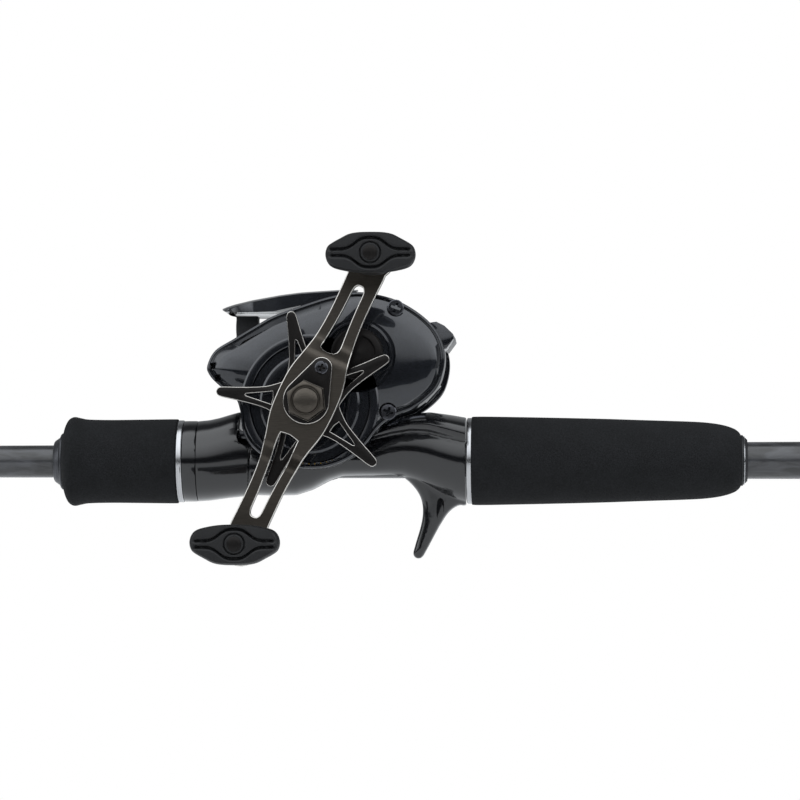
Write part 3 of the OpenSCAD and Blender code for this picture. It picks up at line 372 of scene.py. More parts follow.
def closed_curve(points, steps):
    """A smooth closed outline through the points, with its outward normals."""
    n = len(points)
    out = []
    for i in range(n):
        p0, p1, p2, p3 = (Vector(points[(i + k) % n]) for k in (-1, 0, 1, 2))
        for s in range(steps):
            t = s / steps
            out.append(0.5 * (2 * p1 + (p2 - p0) * t + (2 * p0 - 5 * p1 + 4 * p2 - p3) * t * t
                              + (3 * p1 - p0 - 3 * p2 + p3) * t ** 3))
    normals = []
    for i in range(len(out)):
        along = (out[(i + 1) % len(out)] - out[i - 1]).normalized()
        normals.append(Vector((-along.y, along.x)))
    return out, normals


def plate_from(outline, holes, thick, edge_width, name, steps=1):
    """A flat plate in its own plane, with bevelled edges; the bevels take the second material."""
    curve = bpy.data.curves.new(name, "CURVE")
    curve.dimensions, curve.fill_mode = "2D", "BOTH"
    curve.extrude = (thick / 2 - edge_width) * MM
    curve.bevel_depth, curve.bevel_resolution, curve.offset = edge_width * MM, steps, -edge_width * MM
    for points in [outline] + holes:
        line = curve.splines.new("POLY")
        line.points.add(len(points) - 1)
        for target, (u, v) in zip(line.points, points):
            target.co = (u * MM, v * MM, 0, 1)
        line.use_cyclic_u = True
    drawn = bpy.data.objects.new(name, curve)
    bpy.context.collection.objects.link(drawn)
    mesh = bpy.data.meshes.new_from_object(drawn.evaluated_get(bpy.context.evaluated_depsgraph_get()))
    bpy.data.objects.remove(drawn)
    bm = bmesh.new()
    bm.from_mesh(mesh)
    bpy.data.meshes.remove(mesh)
    bmesh.ops.remove_doubles(bm, verts=bm.verts, dist=1e-6)
    bm.normal_update()
    for side_face in bm.faces:
        side_face.material_index = int(0.2 < abs(side_face.normal.z) < 0.95)
    return bm


def slab(points, y0, y1, origin):
    """A side-view outline in millimetres, drawn between two places across the reel."""
    bm = bmesh.new()
    sides = [[bm.verts.new(Vector((x, y, z)) * MM + Vector((origin.x, 0, origin.z))) for x, z in points]
             for y in (y0, y1)]
    bm.faces.new(sides[0])
    bm.faces.new(sides[1])
    for i in range(len(points)):
        j = (i + 1) % len(points)
        bm.faces.new((sides[0][i], sides[0][j], sides[1][j], sides[1][i]))
    return bm


def boxed(low, high):
    bm = bmesh.new()
    bmesh.ops.create_cube(bm, size=1)
    for v in bm.verts:
        v.co = Vector([(high[i] if v.co[i] > 0 else low[i]) for i in range(3)]) * MM
    return bm


def applied(piece):
    """Makes a piece's modifiers part of its mesh."""
    shape = bpy.data.meshes.new_from_object(piece.evaluated_get(bpy.context.evaluated_depsgraph_get()))
    piece.modifiers.clear()
    old, piece.data = piece.data, shape
    bpy.data.meshes.remove(old)
    return piece


def broken_edges(piece, width, segments, angle):
    """Rounds every edge where faces meet at more than the angle; the width is in millimetres."""
    edge = piece.modifiers.new("edge", "BEVEL")
    edge.width = width * MM
    edge.segments = segments
    edge.limit_method = "ANGLE"
    edge.angle_limit = math.radians(angle)
    return applied(piece)


def carved(piece, tool_bm, how="DIFFERENCE"):
    """Cuts, keeps or joins the tool's shape, which is then thrown away."""
    tool = link_mesh("tool", tool_bm)
    cut = piece.modifiers.new("cut", "BOOLEAN")
    cut.operation, cut.object, cut.solver = how, tool, "EXACT"
    applied(piece)
    bpy.data.objects.remove(tool)
    return piece


def blended(piece, voxel, rounds):
    """Melts overlapping closed shapes into one skin and softens where they meet."""
    melt = piece.modifiers.new("melt", "REMESH")
    melt.mode, melt.voxel_size = "VOXEL", voxel * MM
    soften = piece.modifiers.new("soften", "SMOOTH")
    soften.factor, soften.iterations = 0.5, rounds
    return applied(piece)


def merged(*parts):
    """Puts several meshes into one."""
    whole = bmesh.new()
    for part in parts:
        mesh = bpy.data.meshes.new("part")
        part.to_mesh(mesh)
        part.free()
        whole.from_mesh(mesh)
        bpy.data.meshes.remove(mesh)
    return whole


# Piano-black moulding: smooth skin, faint orange peel of 3 mm waves.
graphite = patterned(
    "polished_graphite_nylon", "#0b0b0d", "#131417", scale=330.0, detail=1.0, bump=(0.12, 0.00012),
    Roughness=0.16, Coat_Weight=0.6, Coat_Roughness=0.04)
seat_stations = [
    (-19.7, 10.4, 6.5, -10.1, 0.9), (-14, 10.3, 6.5, -10.3, 0.9), (-6, 10.0, 6.5, -10.2, 0.88),
    (-1, 9.8, 6.5, -8.6, 0.86), (4, 9.5, 6.5, -5.9, 0.8), (8, 9.4, 6.5, -4.7, 0.76),
    (14, 9.3, 6.5, -4.6, 0.75),
    (17.2, 9.4, 7.0, -4.6, 0.76), (19, 9.5, 8.8, -4.6, 0.8), (22.5, 9.7, 11.3, -4.6, 0.86),
    (26, 10.0, 12.6, -4.9, 0.9), (30, 10.4, 13.8, -6.4, 0.94), (33.5, 10.9, 14.4, -8.2, 0.97),
    (38, 11.6, 13.9, -10.6, 1.0), (42, 12.3, 13.2, -12.2, 1.0), (45.3, 12.8, 12.85, -12.85, 1.0)]
hood_stations = [
    (15.5, 8.0, 7.6, 6.3, 0.8), (17.5, 9.8, 8.6, 6.2, 0.8), (20, 10.4, 10.4, 6.4, 0.85),
    (24, 10.9, 12.3, 6.9, 0.9),
    (29, 11.4, 14.0, 7.3, 0.92), (34, 12.0, 14.6, 6.6, 0.95), (40, 12.5, 13.8, 4.4, 0.97),
    (45.3, 12.9, 12.9, 2.4, 1.0)]
trigger_outline = [
    (22.5, -3.4), (25.0, -4.3), (27.2, -5.7), (28.9, -7.3), (30.4, -9.2), (31.5, -11.4), (32.0, -14.0),
    (31.9, -17.0), (31.2, -20.3), (30.2, -23.6), (29.4, -26.3), (29.1, -27.8), (29.6, -28.9),
    (30.7, -29.3),
    (31.8, -28.8), (32.8, -27.2), (34.1, -24.8), (36.0, -21.2), (37.9, -17.9), (39.5, -15.6),
    (41.2, -14.1),
    (43.0, -13.2), (45.3, -12.7), (47.0, -4.0), (30.0, -2.0)]


def trigger_blade():
    """The finger trigger: its side outline, 8 mm thick, with edges rounded by 2.4 mm."""
    line, _ = closed_curve(trigger_outline, 4)
    blade = plate_from([(p.x, p.y) for p in line], [], 8.4, 2.4, "trigger_blank", 4)
    for v in blade.verts:
        taper = 1 - 0.45 * min(1.0, max(0.0, (-v.co.y / MM - 8) / 21))
        v.co = Vector((v.co.x + crank.x, -v.co.z * taper, v.co.y))
    return blade


def rod_core(x0, x1, radius):
    """A plain round bar on the rod's axis, from x0 to x1 as seen from the crank."""
    c = crank.x * 1000
    return turned([(c + x0, 0), (c + x0, radius), (c + x1, radius), (c + x1, 0)], closed=False, steps=64)


seat = link_mesh("seat_moulding", merged(
    lofted(seat_stations, -19.7, 45.3), lofted(hood_stations, 15.5, 45.3), trigger_blade()), graphite)
blended(seat, 0.42, 5)
cx = crank.x * 1000
carved(seat, boxed((cx + 44.9, -20, -20), (cx + 60, 20, 20)))
carved(seat, boxed((cx + 5, -7.7, 6.45), (cx + 31.7, 7.7, 9.15)))
carved(seat, rod_core(-40, 60, 5.7))
dimple, _ = closed_curve([(37.4, -11.2), (38.4, -12.4), (38.2, -16), (37.0, -17.8), (36.2, -16.4),
    (36.4, -12.4)], 4)
for y0, y1 in ((-9, -3.1), (3.1, 9)):
    carved(seat, slab([(p.x, p.y) for p in dimple], y0, y1, Vector((crank.x, 0, 0))))
fit(crisp(seat, 40), "rod", "seat_graphite", "reel_seat")

barrel_r = 8.6
thread_pitch = 2.5
thread = [(cx - 71.6, 5.7), (cx - 71.6, barrel_r - 0.5)]
for turn in range(14):
    a = cx - 71 + turn * thread_pitch
    thread += [(a, barrel_r - 0.5), (a + 0.5, barrel_r), (a + 1.5, barrel_r), (a + 2.0, barrel_r - 0.5)]
thread += [(cx - 35.6, barrel_r - 0.5), (cx - 35.4, barrel_r), (cx - 19.2, barrel_r), (cx - 19.2, 5.7)]
barrel = link_mesh("seat_barrel", turned(thread, steps=96), graphite)
carved(barrel, boxed((cx - 34, -12, 6.5), (cx - 10, 12, 20)))
fit(crisp(barrel, 30), "rod", "seat_graphite")

slide_stations = [
    (-35.3, 12.0, 12.05, -12.0, 1.0), (-32, 11.7, 12.35, -11.8, 0.98), (-29, 11.4, 13.0, -11.4, 0.95),
    (-26, 11.2, 13.9, -11.0, 0.93), (-23.5, 11.1, 14.6, -10.75, 0.92), (-21.5, 11.0, 14.8, -10.5, 0.92),
    (-15, 10.8, 14.8, -10.2, 0.92)]
slider = link_mesh("hood_moulding", lofted(slide_stations, -35.3, -15, 0.7), graphite)
hood_edge = smooth_profile([
    (-40, -16), (-40, 18), (-23.6, 18), (-22.6, 14.4), (-22.9, 11), (-23.2, 7.2), (-22.6, 5.4),
    (-21.4, 4.6),
    (-19.9, 3.2), (-19.9, -1), (-20.1, -7), (-20.6, -16)], 4)
carved(slider, slab(hood_edge, -20, 20, Vector((crank.x, 0, 0))), "INTERSECT")
carved(slider, boxed((cx - 32.3, -7.7, 5), (cx - 10, 7.7, 9.2)))
carved(slider, rod_core(-40, 0, barrel_r + 0.06))
fit(crisp(broken_edges(slider, 0.28, 3, 42), 35), "hood", "seat_graphite", "seat_hood")

low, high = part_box("lock_collar")
a, b, r = low.x * 1000, high.x * 1000, high.y * 1000
collar_profile = [(a, barrel_r + 0.06), (a, r - 0.35), (a + 0.12, r - 0.1), (a + 0.35, r), (b - 0.5, r),
                  (b - 0.15, r - 0.12), (b, r - 0.5), (b, barrel_r + 0.06)]
collar = crisp(link_mesh("locking_collar", turned(collar_profile, steps=128), graphite), 40)
fit(collar, "locking_nut", "seat_graphite", "lock_collar")


# ---- Reel side plates ----
# The gear housing and the palm plate are cast shells in gloss graphite lacquer. The gear housing has
# a bevelled crown along its top, a round boss about the crank and a recess for the cast control cap.

def graphite_lacquer():
    # Dark metallic base coat with 0.2 mm flakes, under clear lacquer.
    material, tree, shader = new_material(
        "graphite_lacquer", Metallic=0.6, Roughness=0.22, Coat_Weight=1.0, Coat_Roughness=0.03)
    place = add(tree, "ShaderNodeTexCoord")
    flake = add(tree, "ShaderNodeTexVoronoi", Vector=place.outputs["Object"], Scale=4200.0)
    ramp = add(tree, "ShaderNodeValToRGB", Fac=flake.outputs["Color"])
    ramp.color_ramp.elements[0].color = linear("#141619")
    ramp.color_ramp.elements[1].color = linear("#2b2e35")
    tree.links.new(ramp.outputs["Color"], shader.inputs["Base Color"])
    return material


lacquer = graphite_lacquer()
plate_points = [
    (-31.2, 11.3), (-28.8, 16.2), (-23, 19.9), (-16.8, 23.6), (-11.4, 26.6), (-3.4, 29.5), (5.2, 32.2),
    (13.2, 33.6), (20.2, 32.7), (26.1, 30.8), (32, 27.3), (36.7, 22.9), (39.4, 17.6), (39.9, 12),
    (38.3, 5.8),
    (35, 1.6), (30, -2), (24.5, -4.2), (20.3, -7.4), (16.5, -12.2), (11.5, -16.5), (4, -19.2), (-4, -19.2),
    (-12, -17), (-17.8, -12.8), (-20.6, -8), (-21.4, -2), (-23, 2), (-27.2, 5), (-30.3, 8.2)]


def shell(rings, centre, side, origin):
    """A plate built up from rings of an outline: each ring is a function of the outline's normal.

    A ring gives (inset, depth), and the last rings close in on the centre."""
    line, normals = closed_curve(plate_points, 6)
    smooth = []
    for i in range(len(normals)):
        near = sum((normals[(i + k) % len(normals)] for k in range(-5, 6)), Vector((0, 0)))
        smooth.append(near.normalized())
    bm = bmesh.new()
    shift = Vector((origin.x, 0, origin.z))
    made = []
    for ring in rings:
        loop = []
        for p, n, soft in zip(line, normals, smooth):
            inset, depth, shrink = ring(max(0.0, soft.y))
            q = p - soft * inset
            q = Vector(centre) + (q - Vector(centre)) * shrink
            loop.append(bm.verts.new(Vector((q.x, side * depth, q.y)) * MM + shift))
        made.append(loop)
    return skinned(bm, made)


wall_out = 15.5
low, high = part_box("gear_side_plate")
face = 30.5                                      # outer face of the gear housing
gear_rings = [
    lambda up: (0.5, wall_out + 0.1, 1),
    lambda up: (0.5, face - 5.6 - 1.2 * up, 1),
    lambda up: (0.65, face - 5.3 - 1.2 * up, 1),
    lambda up: (1.1, face - 5.15 - 1.2 * up, 1),
    lambda up: (1.25, face - 5.7 - 1.2 * up, 1),
    lambda up: (1.65, face - 5.7 - 1.2 * up, 1),
    lambda up: (1.75, face - 4.9 - 1.0 * up, 1),
    lambda up: (1.95, face - 4.4 - 0.9 * up, 1),
    lambda up: (2.1, face - 3.3, 0.98 - 0.06 * up),
    lambda up: (2.1, face - 3.0, 0.97 - 0.07 * up),
    lambda up: (2.1, face - 2.4, 0.92 - 0.075 * up),
    lambda up: (2.1, face - 1.75, 0.8 - 0.05 * up),
    lambda up: (2.1, face - 1.15, 0.64 - 0.03 * up),
    lambda up: (2.1, face - 0.8, 0.48),
    lambda up: (2.1, face - 0.65, 0.3),
    lambda up: (2.1, face - 0.6, 0.1)]
housing = link_mesh("gear_housing", shell(gear_rings, (6, 7), -1, crank), lacquer)
boss_radius, band_radius = 14.7, 20.3
boss_face = 31.3
centre = (crank.x, 0, crank.z)
boss = link_mesh("boss_blank", turned([
    (-27, 0), (-boss_face + 0.3, 0), (-boss_face + 0.3, 9.6), (-boss_face + 0.75, 10.0),
    (-boss_face + 0.75, 10.6), (-boss_face + 0.1, 11.0), (-boss_face, 11.6),
    (-boss_face + 0.15, boss_radius - 0.6), (-boss_face + 0.6, boss_radius), (-29.97, boss_radius + 0.1),
    (-29.97, 17.3), (-30.75, 17.7), (-30.85, 18.0), (-30.7, 19.8), (-30.3, band_radius),
    (-27, band_radius)], "Y", centre, 144, closed=False), lacquer)
outline, _ = closed_curve(plate_points, 2)
carved(boss, slab([(p.x * 0.93 + 0.3, p.y * 0.93 + 0.5) for p in outline], -40, 0, crank), "INTERSECT")
spool_centre = (spool_axis.x, 0, spool_axis.z)
recess_radius = 11.1
pocket = [  # room behind the face for the gear train
    (-26, 11), (-20, 18.5), (-9, 24), (3, 28), (14, 29.5), (27, 26), (34, 19), (36, 12), (33, 5),
    (23, 0), (17, -7),
    (11, -14), (0, -17.6), (-11, -14.5), (-18, -8), (-19, 2)]
screws = [(25.1, 28.2), (22.9, -2.4)]


def drilled(piece, place, radius, y0, y1, steps=64):
    """Cuts a round hole across the reel, from y0 to y1."""
    hole = [(y0, 0), (y0, radius), (y1, radius), (y1, 0)]
    carved(piece, turned(hole, "Y", place, steps, closed=False))


def recess_tool():
    """The recess round the cast control cap, with one raised ring on its floor."""
    profile = [(clear_of_reel, 0), (clear_of_reel, recess_radius + 0.3), (-29.2, recess_radius),
               (-recess_floor, 10.5), (-recess_floor, 10.0), (-29.25, 9.8), (-29.25, 9.3),
               (-recess_floor, 9.1), (-recess_floor, 0)]
    return turned(profile, "Y", spool_centre, 128, closed=False)


clear_of_reel = -40
recess_floor = 28.7
shaft_room = 4.9
pinion_low, pinion_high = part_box("pinion_gear")
neck_bore = (pinion_high.x - pinion_low.x) * 500 + 0.4     # the pinion slides out through the neck
carved(housing, slab(pocket, -26.8, -15, crank))
for piece in (housing, boss):
    carved(piece, recess_tool())
    drilled(piece, centre, shaft_room, clear_of_reel, -13)
    drilled(piece, spool_centre, neck_bore, clear_of_reel, -13)
neck = turned([(-27.2, neck_bore), (-30.6, neck_bore), (-30.6, 6.4), (-30.2, 6.6), (-27.2, 6.6)],
              "Y", spool_centre, 96)
fit(crisp(link_mesh("cap_neck", neck, lacquer), 30), "rod", "reel_body")
screw_radius = 2.4
for x, z in screws:
    well = (crank.x + x * MM, 0, crank.z + z * MM)
    drilled(housing, well, screw_radius + 0.25, clear_of_reel, -face + 4.2)
vent_half_width, vent_half_height = 0.9, 1.0
for x, z in ((-28.9, 11.3), (-27.4, 7.7)):            # two small vents in the nose
    x += crank.x * 1000
    z += crank.z * 1000
    carved(housing, boxed((x - vent_half_width, -32, z - vent_half_height),
                          (x + vent_half_width, -20, z + vent_half_height)))
fit(crisp(boss, 24), "rod", "reel_body")
fit(crisp(broken_edges(housing, 0.12, 2, 50), 24), "rod", "reel_body", "gear_side_plate")

palm = 26.5
palm_rings = [
    lambda up: (0.5, wall_out + 0.1, 1),
    lambda up: (0.5, palm - 6.4, 1),
    lambda up: (0.9, palm - 5.2, 1),
    lambda up: (2.0, palm - 3.7, 1),
    lambda up: (2.1, palm - 2.1, 0.95),
    lambda up: (2.1, palm - 1.0, 0.87),
    lambda up: (2.1, palm - 0.4, 0.74),
    lambda up: (2.1, palm - 0.1, 0.5),
    lambda up: (2.1, palm, 0.1)]
cup = link_mesh("palm_shell", shell(palm_rings, (6, 9), 1, crank), lacquer)
drilled(cup, spool_centre, 8.8, palm - 0.65, 40, 96)
carved(cup, slab(pocket, 15, 23, crank))
fit(crisp(cup, 24), "rod", "reel_body", "palm_plate")


# ---- Frame, cowl and thumb bar ----
# The frame is one aluminium casting with the foot; its edges are broken by tumbling. The cowl covers
# the level wind, and the thumb bar between the side walls opens the clutch.

def eased(name, node, width, material, *more):
    """A CAD piece with its edges broken: the loose triangles are merged and flat faces rejoined."""
    bm = bmesh.new()
    bm.from_mesh(frame["nodes"][node].data)
    bmesh.ops.remove_doubles(bm, verts=bm.verts, dist=2e-6)
    bmesh.ops.dissolve_limit(bm, angle_limit=math.radians(1), verts=bm.verts, edges=bm.edges)
    piece = link_mesh(name, bm, material, *more)
    if width:
        broken_edges(piece, width, 2, 35)
    return crisp(piece, 30)


fit(eased("frame_casting", "reel_frame", 0.2, lacquer), "rod", "reel_body", "reel_frame")
fit(eased("thumb_bar_casting", "thumb_bar", 0.5, lacquer), "thumb_bar", "reel_body", "thumb_bar")

cowl_top = [(-28.2, 29.6), (-24.9, 30.6), (-18.9, 31.9), (-10, 33.3), (-4.1, 34.0), (7.8, 34.7),
    (13.2, 34.7)]
cowl_half = [(-28.2, 9.0), (-26.9, 11.6), (-24, 13.6), (-18, 15.6), (-10, 18.4), (0, 20.2), (13.2, 20.4)]
cowl_low = [(-28.2, 29.3), (-24.9, 29.0), (-17.1, 28.9), (-11.8, 29.0), (-3.4, 30.6), (7.3, 33.2),
    (13.2, 34.2)]


def cowl():
    """A blade that arches across the reel, thin at the front and wrapped over both side walls."""
    bm = bmesh.new()
    across = 40
    skins = [[], []]
    front, rear = cowl_top[0][0], cowl_top[-1][0]
    steps = [i / 30 for i in range(31)]
    for t in steps:
        x = front + (rear - front) * t
        top = between(cowl_top, x)[0]
        low = between(cowl_low, x)[0]
        half = between(cowl_half, x)[0]
        for skin, height in zip(skins, (top, low)):
            row = []
            for k in range(across + 1):
                v = 2 * k / across - 1
                y = half * math.sin(v * math.pi / 2)
                sag = 1.1 * abs(math.sin(v * math.pi / 2)) ** 4
                back = 2.2 * (1 - math.cos(v * math.pi / 2)) * (1 - t) ** 4
                row.append(bm.verts.new(Vector((x + back, y, height - sag)) * MM + Vector(centre)))
            skin.append(row)
    for skin in skins:
        for one, two in zip(skin, skin[1:]):
            for k in range(across):
                bm.faces.new((one[k], one[k + 1], two[k + 1], two[k]))
    top, low = skins
    for i in range(len(top) - 1):
        for k in (0, across):
            bm.faces.new((top[i][k], top[i + 1][k], low[i + 1][k], low[i][k]))
    for i in (0, len(top) - 1):
        for k in range(across):
            bm.faces.new((top[i][k], top[i][k + 1], low[i][k + 1], low[i][k]))
    return bm


cover = link_mesh("front_cowl", cowl(), lacquer)
mouth = [(-3, -12), (-4.2, -9), (-4.8, 0), (-4.2, 9), (-3, 12), (-1, 12.4), (30, 12.4), (30, -12.4),
    (-1, -12.4)]
cutter = bmesh.new()
sides = [[cutter.verts.new(Vector((x, y, z)) * MM + Vector(centre)) for x, y in mouth]
         for z in (10, 60)]
cutter.faces.new(sides[0])
cutter.faces.new(sides[1])
for i in range(len(mouth)):
    j = (i + 1) % len(mouth)
    cutter.faces.new((sides[0][i], sides[0][j], sides[1][j], sides[1][i]))
carved(cover, cutter)
fit(crisp(broken_edges(cover, 0.06, 1, 60), 30), "rod", "reel_body", "top_cover")


# ---- Handle ----
# Cut from 2.6 mm aluminium plate, the arms joggled in towards the reel, then anodised gunmetal. The
# edges are machined bright after anodising.

def round_points(cx_, cy_, radius, count, start=0.0, sweep=360.0):
    return [(cx_ + radius * math.cos(math.radians(start + sweep * i / count)),
             cy_ + radius * math.sin(math.radians(start + sweep * i / count))) for i in range(count)]


# Warm grey-brown dye over fine linishing along the handle, marks 0.1 mm wide and 10 mm long.
gunmetal = patterned(
    "gunmetal_anodised", "#47433e", "#57524c", stretch=(260, 9000, 9000), detail=3.0,
    turn=(0, math.radians(65), 0), stops=(0.3, 0.7), Metallic=1.0, Roughness=0.34)

# Diamond-cut aluminium: near-white metal with the cutter's 0.15 mm lines.
cut_edge = patterned(
    "bright_cut_edge", "#c2beb8", "#e6e3de", scale=6000.0, detail=1.0, Metallic=1.0, Roughness=0.24)
handle_angle = math.radians(65)
arm = 46.0
half_side = smooth_profile([
    (41.0, 5.3), (36, 5.15), (28, 5.15), (22, 5.5), (17, 6.15), (13, 6.95), (9, 8.0), (5.5, 8.6),
    (1.5, 8.8)], 4)
lobe_radius = 6.19
lobe = round_points(arm, 0, lobe_radius, 18, -122, 244)
outline = [(u, -v) for u, v in half_side[::-1]] + lobe + half_side
outline = outline + [(-u, -v) for u, v in outline]
long_slot = smooth_profile([
    (16.4, -1.9), (18, -2.25), (24, -1.9), (30, -1.65), (35, -1.6), (36.6, -1.0), (36.9, 0),
    (36.6, 1.0), (35, 1.6),
    (30, 1.75), (24, 2.15), (18, 2.8), (16.3, 3.0), (15.6, 1.6), (15.5, 0.2), (15.8, -1.2)], 3)
low_slot = smooth_profile([
    (-11.6, -2.6), (-18, -2.6), (-24, -2.1), (-30, -1.75), (-35, -1.6), (-36.6, -1.0), (-36.9, 0),
    (-36.6, 1.0),
    (-35, 1.6), (-30, 1.75), (-24, 2.1), (-18, 2.6), (-12, 3.0), (-11.2, 2.2), (-11.0, 0)], 3)
plate_thick = 2.6
cut_width = 0.24
handle_bm = plate_from(outline, [long_slot, low_slot], plate_thick, cut_width, "handle_blank")
for u in range(-24, 25):                       # cuts across the plate, so that it can bend
    bmesh.ops.bisect_plane(handle_bm, geom=handle_bm.verts[:] + handle_bm.edges[:] + handle_bm.faces[:],
                           plane_co=(u * MM, 0, 0), plane_no=(1, 0, 0))
low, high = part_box("handle")
hub_out = -low.y * 1000                        # outer face of the hub
joggle = 2.8


def joggled(u):
    """How far in towards the reel the plate lies at a place along it."""
    start, end = (13.0, 19.0) if u > 0 else (15.0, 21.0)
    t = min(1.0, max(0.0, (abs(u) - start) / (end - start)))
    return joggle * t * t * (3 - 2 * t)


for v in handle_bm.verts:
    u, w, depth = v.co.x / MM, v.co.y / MM, v.co.z / MM
    x = u * math.cos(handle_angle) - w * math.sin(handle_angle)
    z = u * math.sin(handle_angle) + w * math.cos(handle_angle)
    v.co = Vector((x, -(hub_out - plate_thick / 2) + joggled(u) + depth, z)) * MM + Vector(centre)
handle = link_mesh("crank_handle", handle_bm, gunmetal, cut_edge)
fit(crisp(handle, 22), "crank", "handle_anodised", "handle")


# ---- Handle nut and its retainer ----
# A hexagon nut with a domed, turned face, held by a pear-shaped keeper plate and one small screw.

# Stainless steel off the lathe, a little brighter on the crests of its 0.15 mm feed marks.
steel = patterned(
    "turned_steel", "#85868a", "#b9babd", stretch=(300, 6500, 300), Metallic=1.0,
    Roughness=0.3)


# Black-brown anodised skin on turned parts: satin, with faint 0.3 mm clouding.
dark = patterned(
    "dark_anodised", "#1c1b1b", "#2d2b2a", scale=3000.0, Metallic=0.9, Roughness=0.36)
nut_out = hub_out + 4.4
across_flats = 10
nut_corner = across_flats / 2 / math.cos(math.radians(30))
nut_profile = [
    (-hub_out + 0.01, 2.62), (-hub_out + 0.01, 7), (-nut_out + 0.75, 6.2), (-nut_out + 0.45, 5.7),
    (-nut_out + 0.08, 4.85), (-nut_out, 4.6), (-nut_out, 4.3), (-nut_out + 0.4, 4.1),
    (-nut_out + 0.4, 3.8),
    (-nut_out - 0.1, 3.55), (-nut_out - 0.45, 2.9), (-nut_out - 0.7, 1.8), (-nut_out - 0.79, 0.8),
    (-nut_out - 0.8, 0), (-nut_out + 0.8, 0), (-nut_out + 0.8, 2.62)]
nut = link_mesh("handle_nut_body", turned(nut_profile, "Y", centre, 96, closed=True), gunmetal)
nut_turn = 36                                  # degrees that the nut has stopped at
corners = [(nut_corner * math.cos(math.radians(nut_turn + 60 * i)),
            nut_corner * math.sin(math.radians(nut_turn + 60 * i)))
           for i in range(6)]
carved(nut, slab(corners, -nut_out - 2, -hub_out + 1, crank), "INTERSECT")
fit(crisp(broken_edges(nut, 0.15, 2, 30), 30), "crank", "handle_anodised", "handle_nut")

reach = 10.6
pear = (round_points(0, 0, 6.8, 26, 70, 220) + round_points(reach, 0, 3.1, 14, -75, 150))
hexagon = [(nut_corner * 1.02 * math.cos(math.radians(36 - 65 + 60 * i)),
            nut_corner * 1.02 * math.sin(math.radians(36 - 65 + 60 * i))) for i in range(6)]
keeper_bm = plate_from(pear, [hexagon], 1.2, 0.2, "keeper_blank")
for v in keeper_bm.verts:
    u, w, depth = v.co.x / MM, v.co.y / MM, v.co.z / MM
    x = u * math.cos(handle_angle) - w * math.sin(handle_angle)
    z = u * math.sin(handle_angle) + w * math.cos(handle_angle)
    v.co = Vector((x, -(hub_out + 0.61) + depth, z)) * MM + Vector(centre)
keeper = crisp(link_mesh("nut_keeper", keeper_bm, dark, cut_edge), 30)
fit(keeper, "crank", "handle_anodised", "nut_retainer")


# Oil-blackened screw steel, darker and lighter in 0.2 mm specks, bright where it turns to the light.
screw_steel = patterned(
    "blackened_steel", "#3c3d41", "#66676c", scale=4500.0, detail=1.0, Metallic=1.0, Roughness=0.24)


def screw_head(name, place, out, radius, body, node, material):
    """A pan-head screw with a cross recess."""
    head = link_mesh(name, turned(
        [(-out + 1.0, 0), (-out + 1.0, radius), (-out + 0.3, radius), (-out + 0.08, radius - 0.25),
         (-out, radius * 0.55), (-out, 0)], "Y", place, 48, closed=False), material)
    for turn in (20, 110):
        arm_ = boxed((-radius * 0.62, -out - 1, -radius * 0.15),
            (radius * 0.62, -out + 1.3, radius * 0.15))
        turned_by = Matrix.Translation(place) @ Matrix.Rotation(math.radians(turn), 4, "Y")
        bmesh.ops.transform(arm_, matrix=turned_by, verts=arm_.verts)
        carved(head, arm_)
    return fit(crisp(head, 30), body, "steel", *([node] if node else []))


toward_tip = Vector((math.cos(handle_angle), 0, math.sin(handle_angle)))
keeper_screw = Vector(centre) + toward_tip * reach * MM
screw_head("keeper_screw", keeper_screw, hub_out + 2.25, 1.9, "crank", "retainer_screw", screw_steel)
for i, (x, z) in enumerate(screws):
    well = (crank.x + x * MM, 0, crank.z + z * MM)
    screw_head(f"side_screw_{i + 1}", well, face - 2.7, screw_radius, "rod",
               "side_plate_screws" if i == 0 else None, screw_steel)


# ---- Star drag ----
# Five arms cut from plate and anodised black, each with a small window, on a turned hub.

star_face = 38.6
arm_side = smooth_profile([
    (7.7, 5.25), (9.2, 4.5), (12.5, 3.2), (16.5, 2.45), (21, 1.9), (25.3, 1.45), (26.6, 0.95),
    (27.0, 0.0)], 4)


def spun(points, angle):
    c, s = math.cos(math.radians(angle)), math.sin(math.radians(angle))
    return [(u * c - v * s, u * s + v * c) for u, v in points]


arm_loop = [(u, -v) for u, v in arm_side] + [(u, v) for u, v in arm_side[::-1][1:]]
window = [(10.6, -1.9), (14.5, -1.05), (18.2, -0.3), (18.5, 0), (18.2, 0.3), (14.5, 1.05), (10.6, 1.9),
    (10.3, 0)]
star_outline, windows = [], []
for k in range(5):
    star_outline += spun(arm_loop, 29 + 72 * k)
    windows.append(spun(window, 29 + 72 * k))
star_bm = plate_from(star_outline, windows + [round_points(0, 0, 2.66, 32)], 2.4, 0.15, "star_blank")
for v in star_bm.verts:
    u, w, depth = v.co.x / MM, v.co.y / MM, v.co.z / MM
    v.co = Vector((u, -(star_face - 1.2) + depth, w)) * MM + Vector(centre)
star = link_mesh("star_wheel", star_bm, dark, cut_edge)
fit(crisp(star, 25), "star", "handle_anodised", "star_drag")
hub = crisp(link_mesh("star_hub", turned(
    [(-32.1, 2.66), (-32.1, 5.4), (-32.5, 6.0), (-36.3, 6.0), (-36.3, 2.66)], "Y", centre, 64), dark), 30)
fit(hub, "star", "handle_anodised")


# ---- Handle knobs ----
# Soft-touch paddles moulded over a nylon core, with an eye-shaped groove round the end button, each
# free to spin on its spindle.

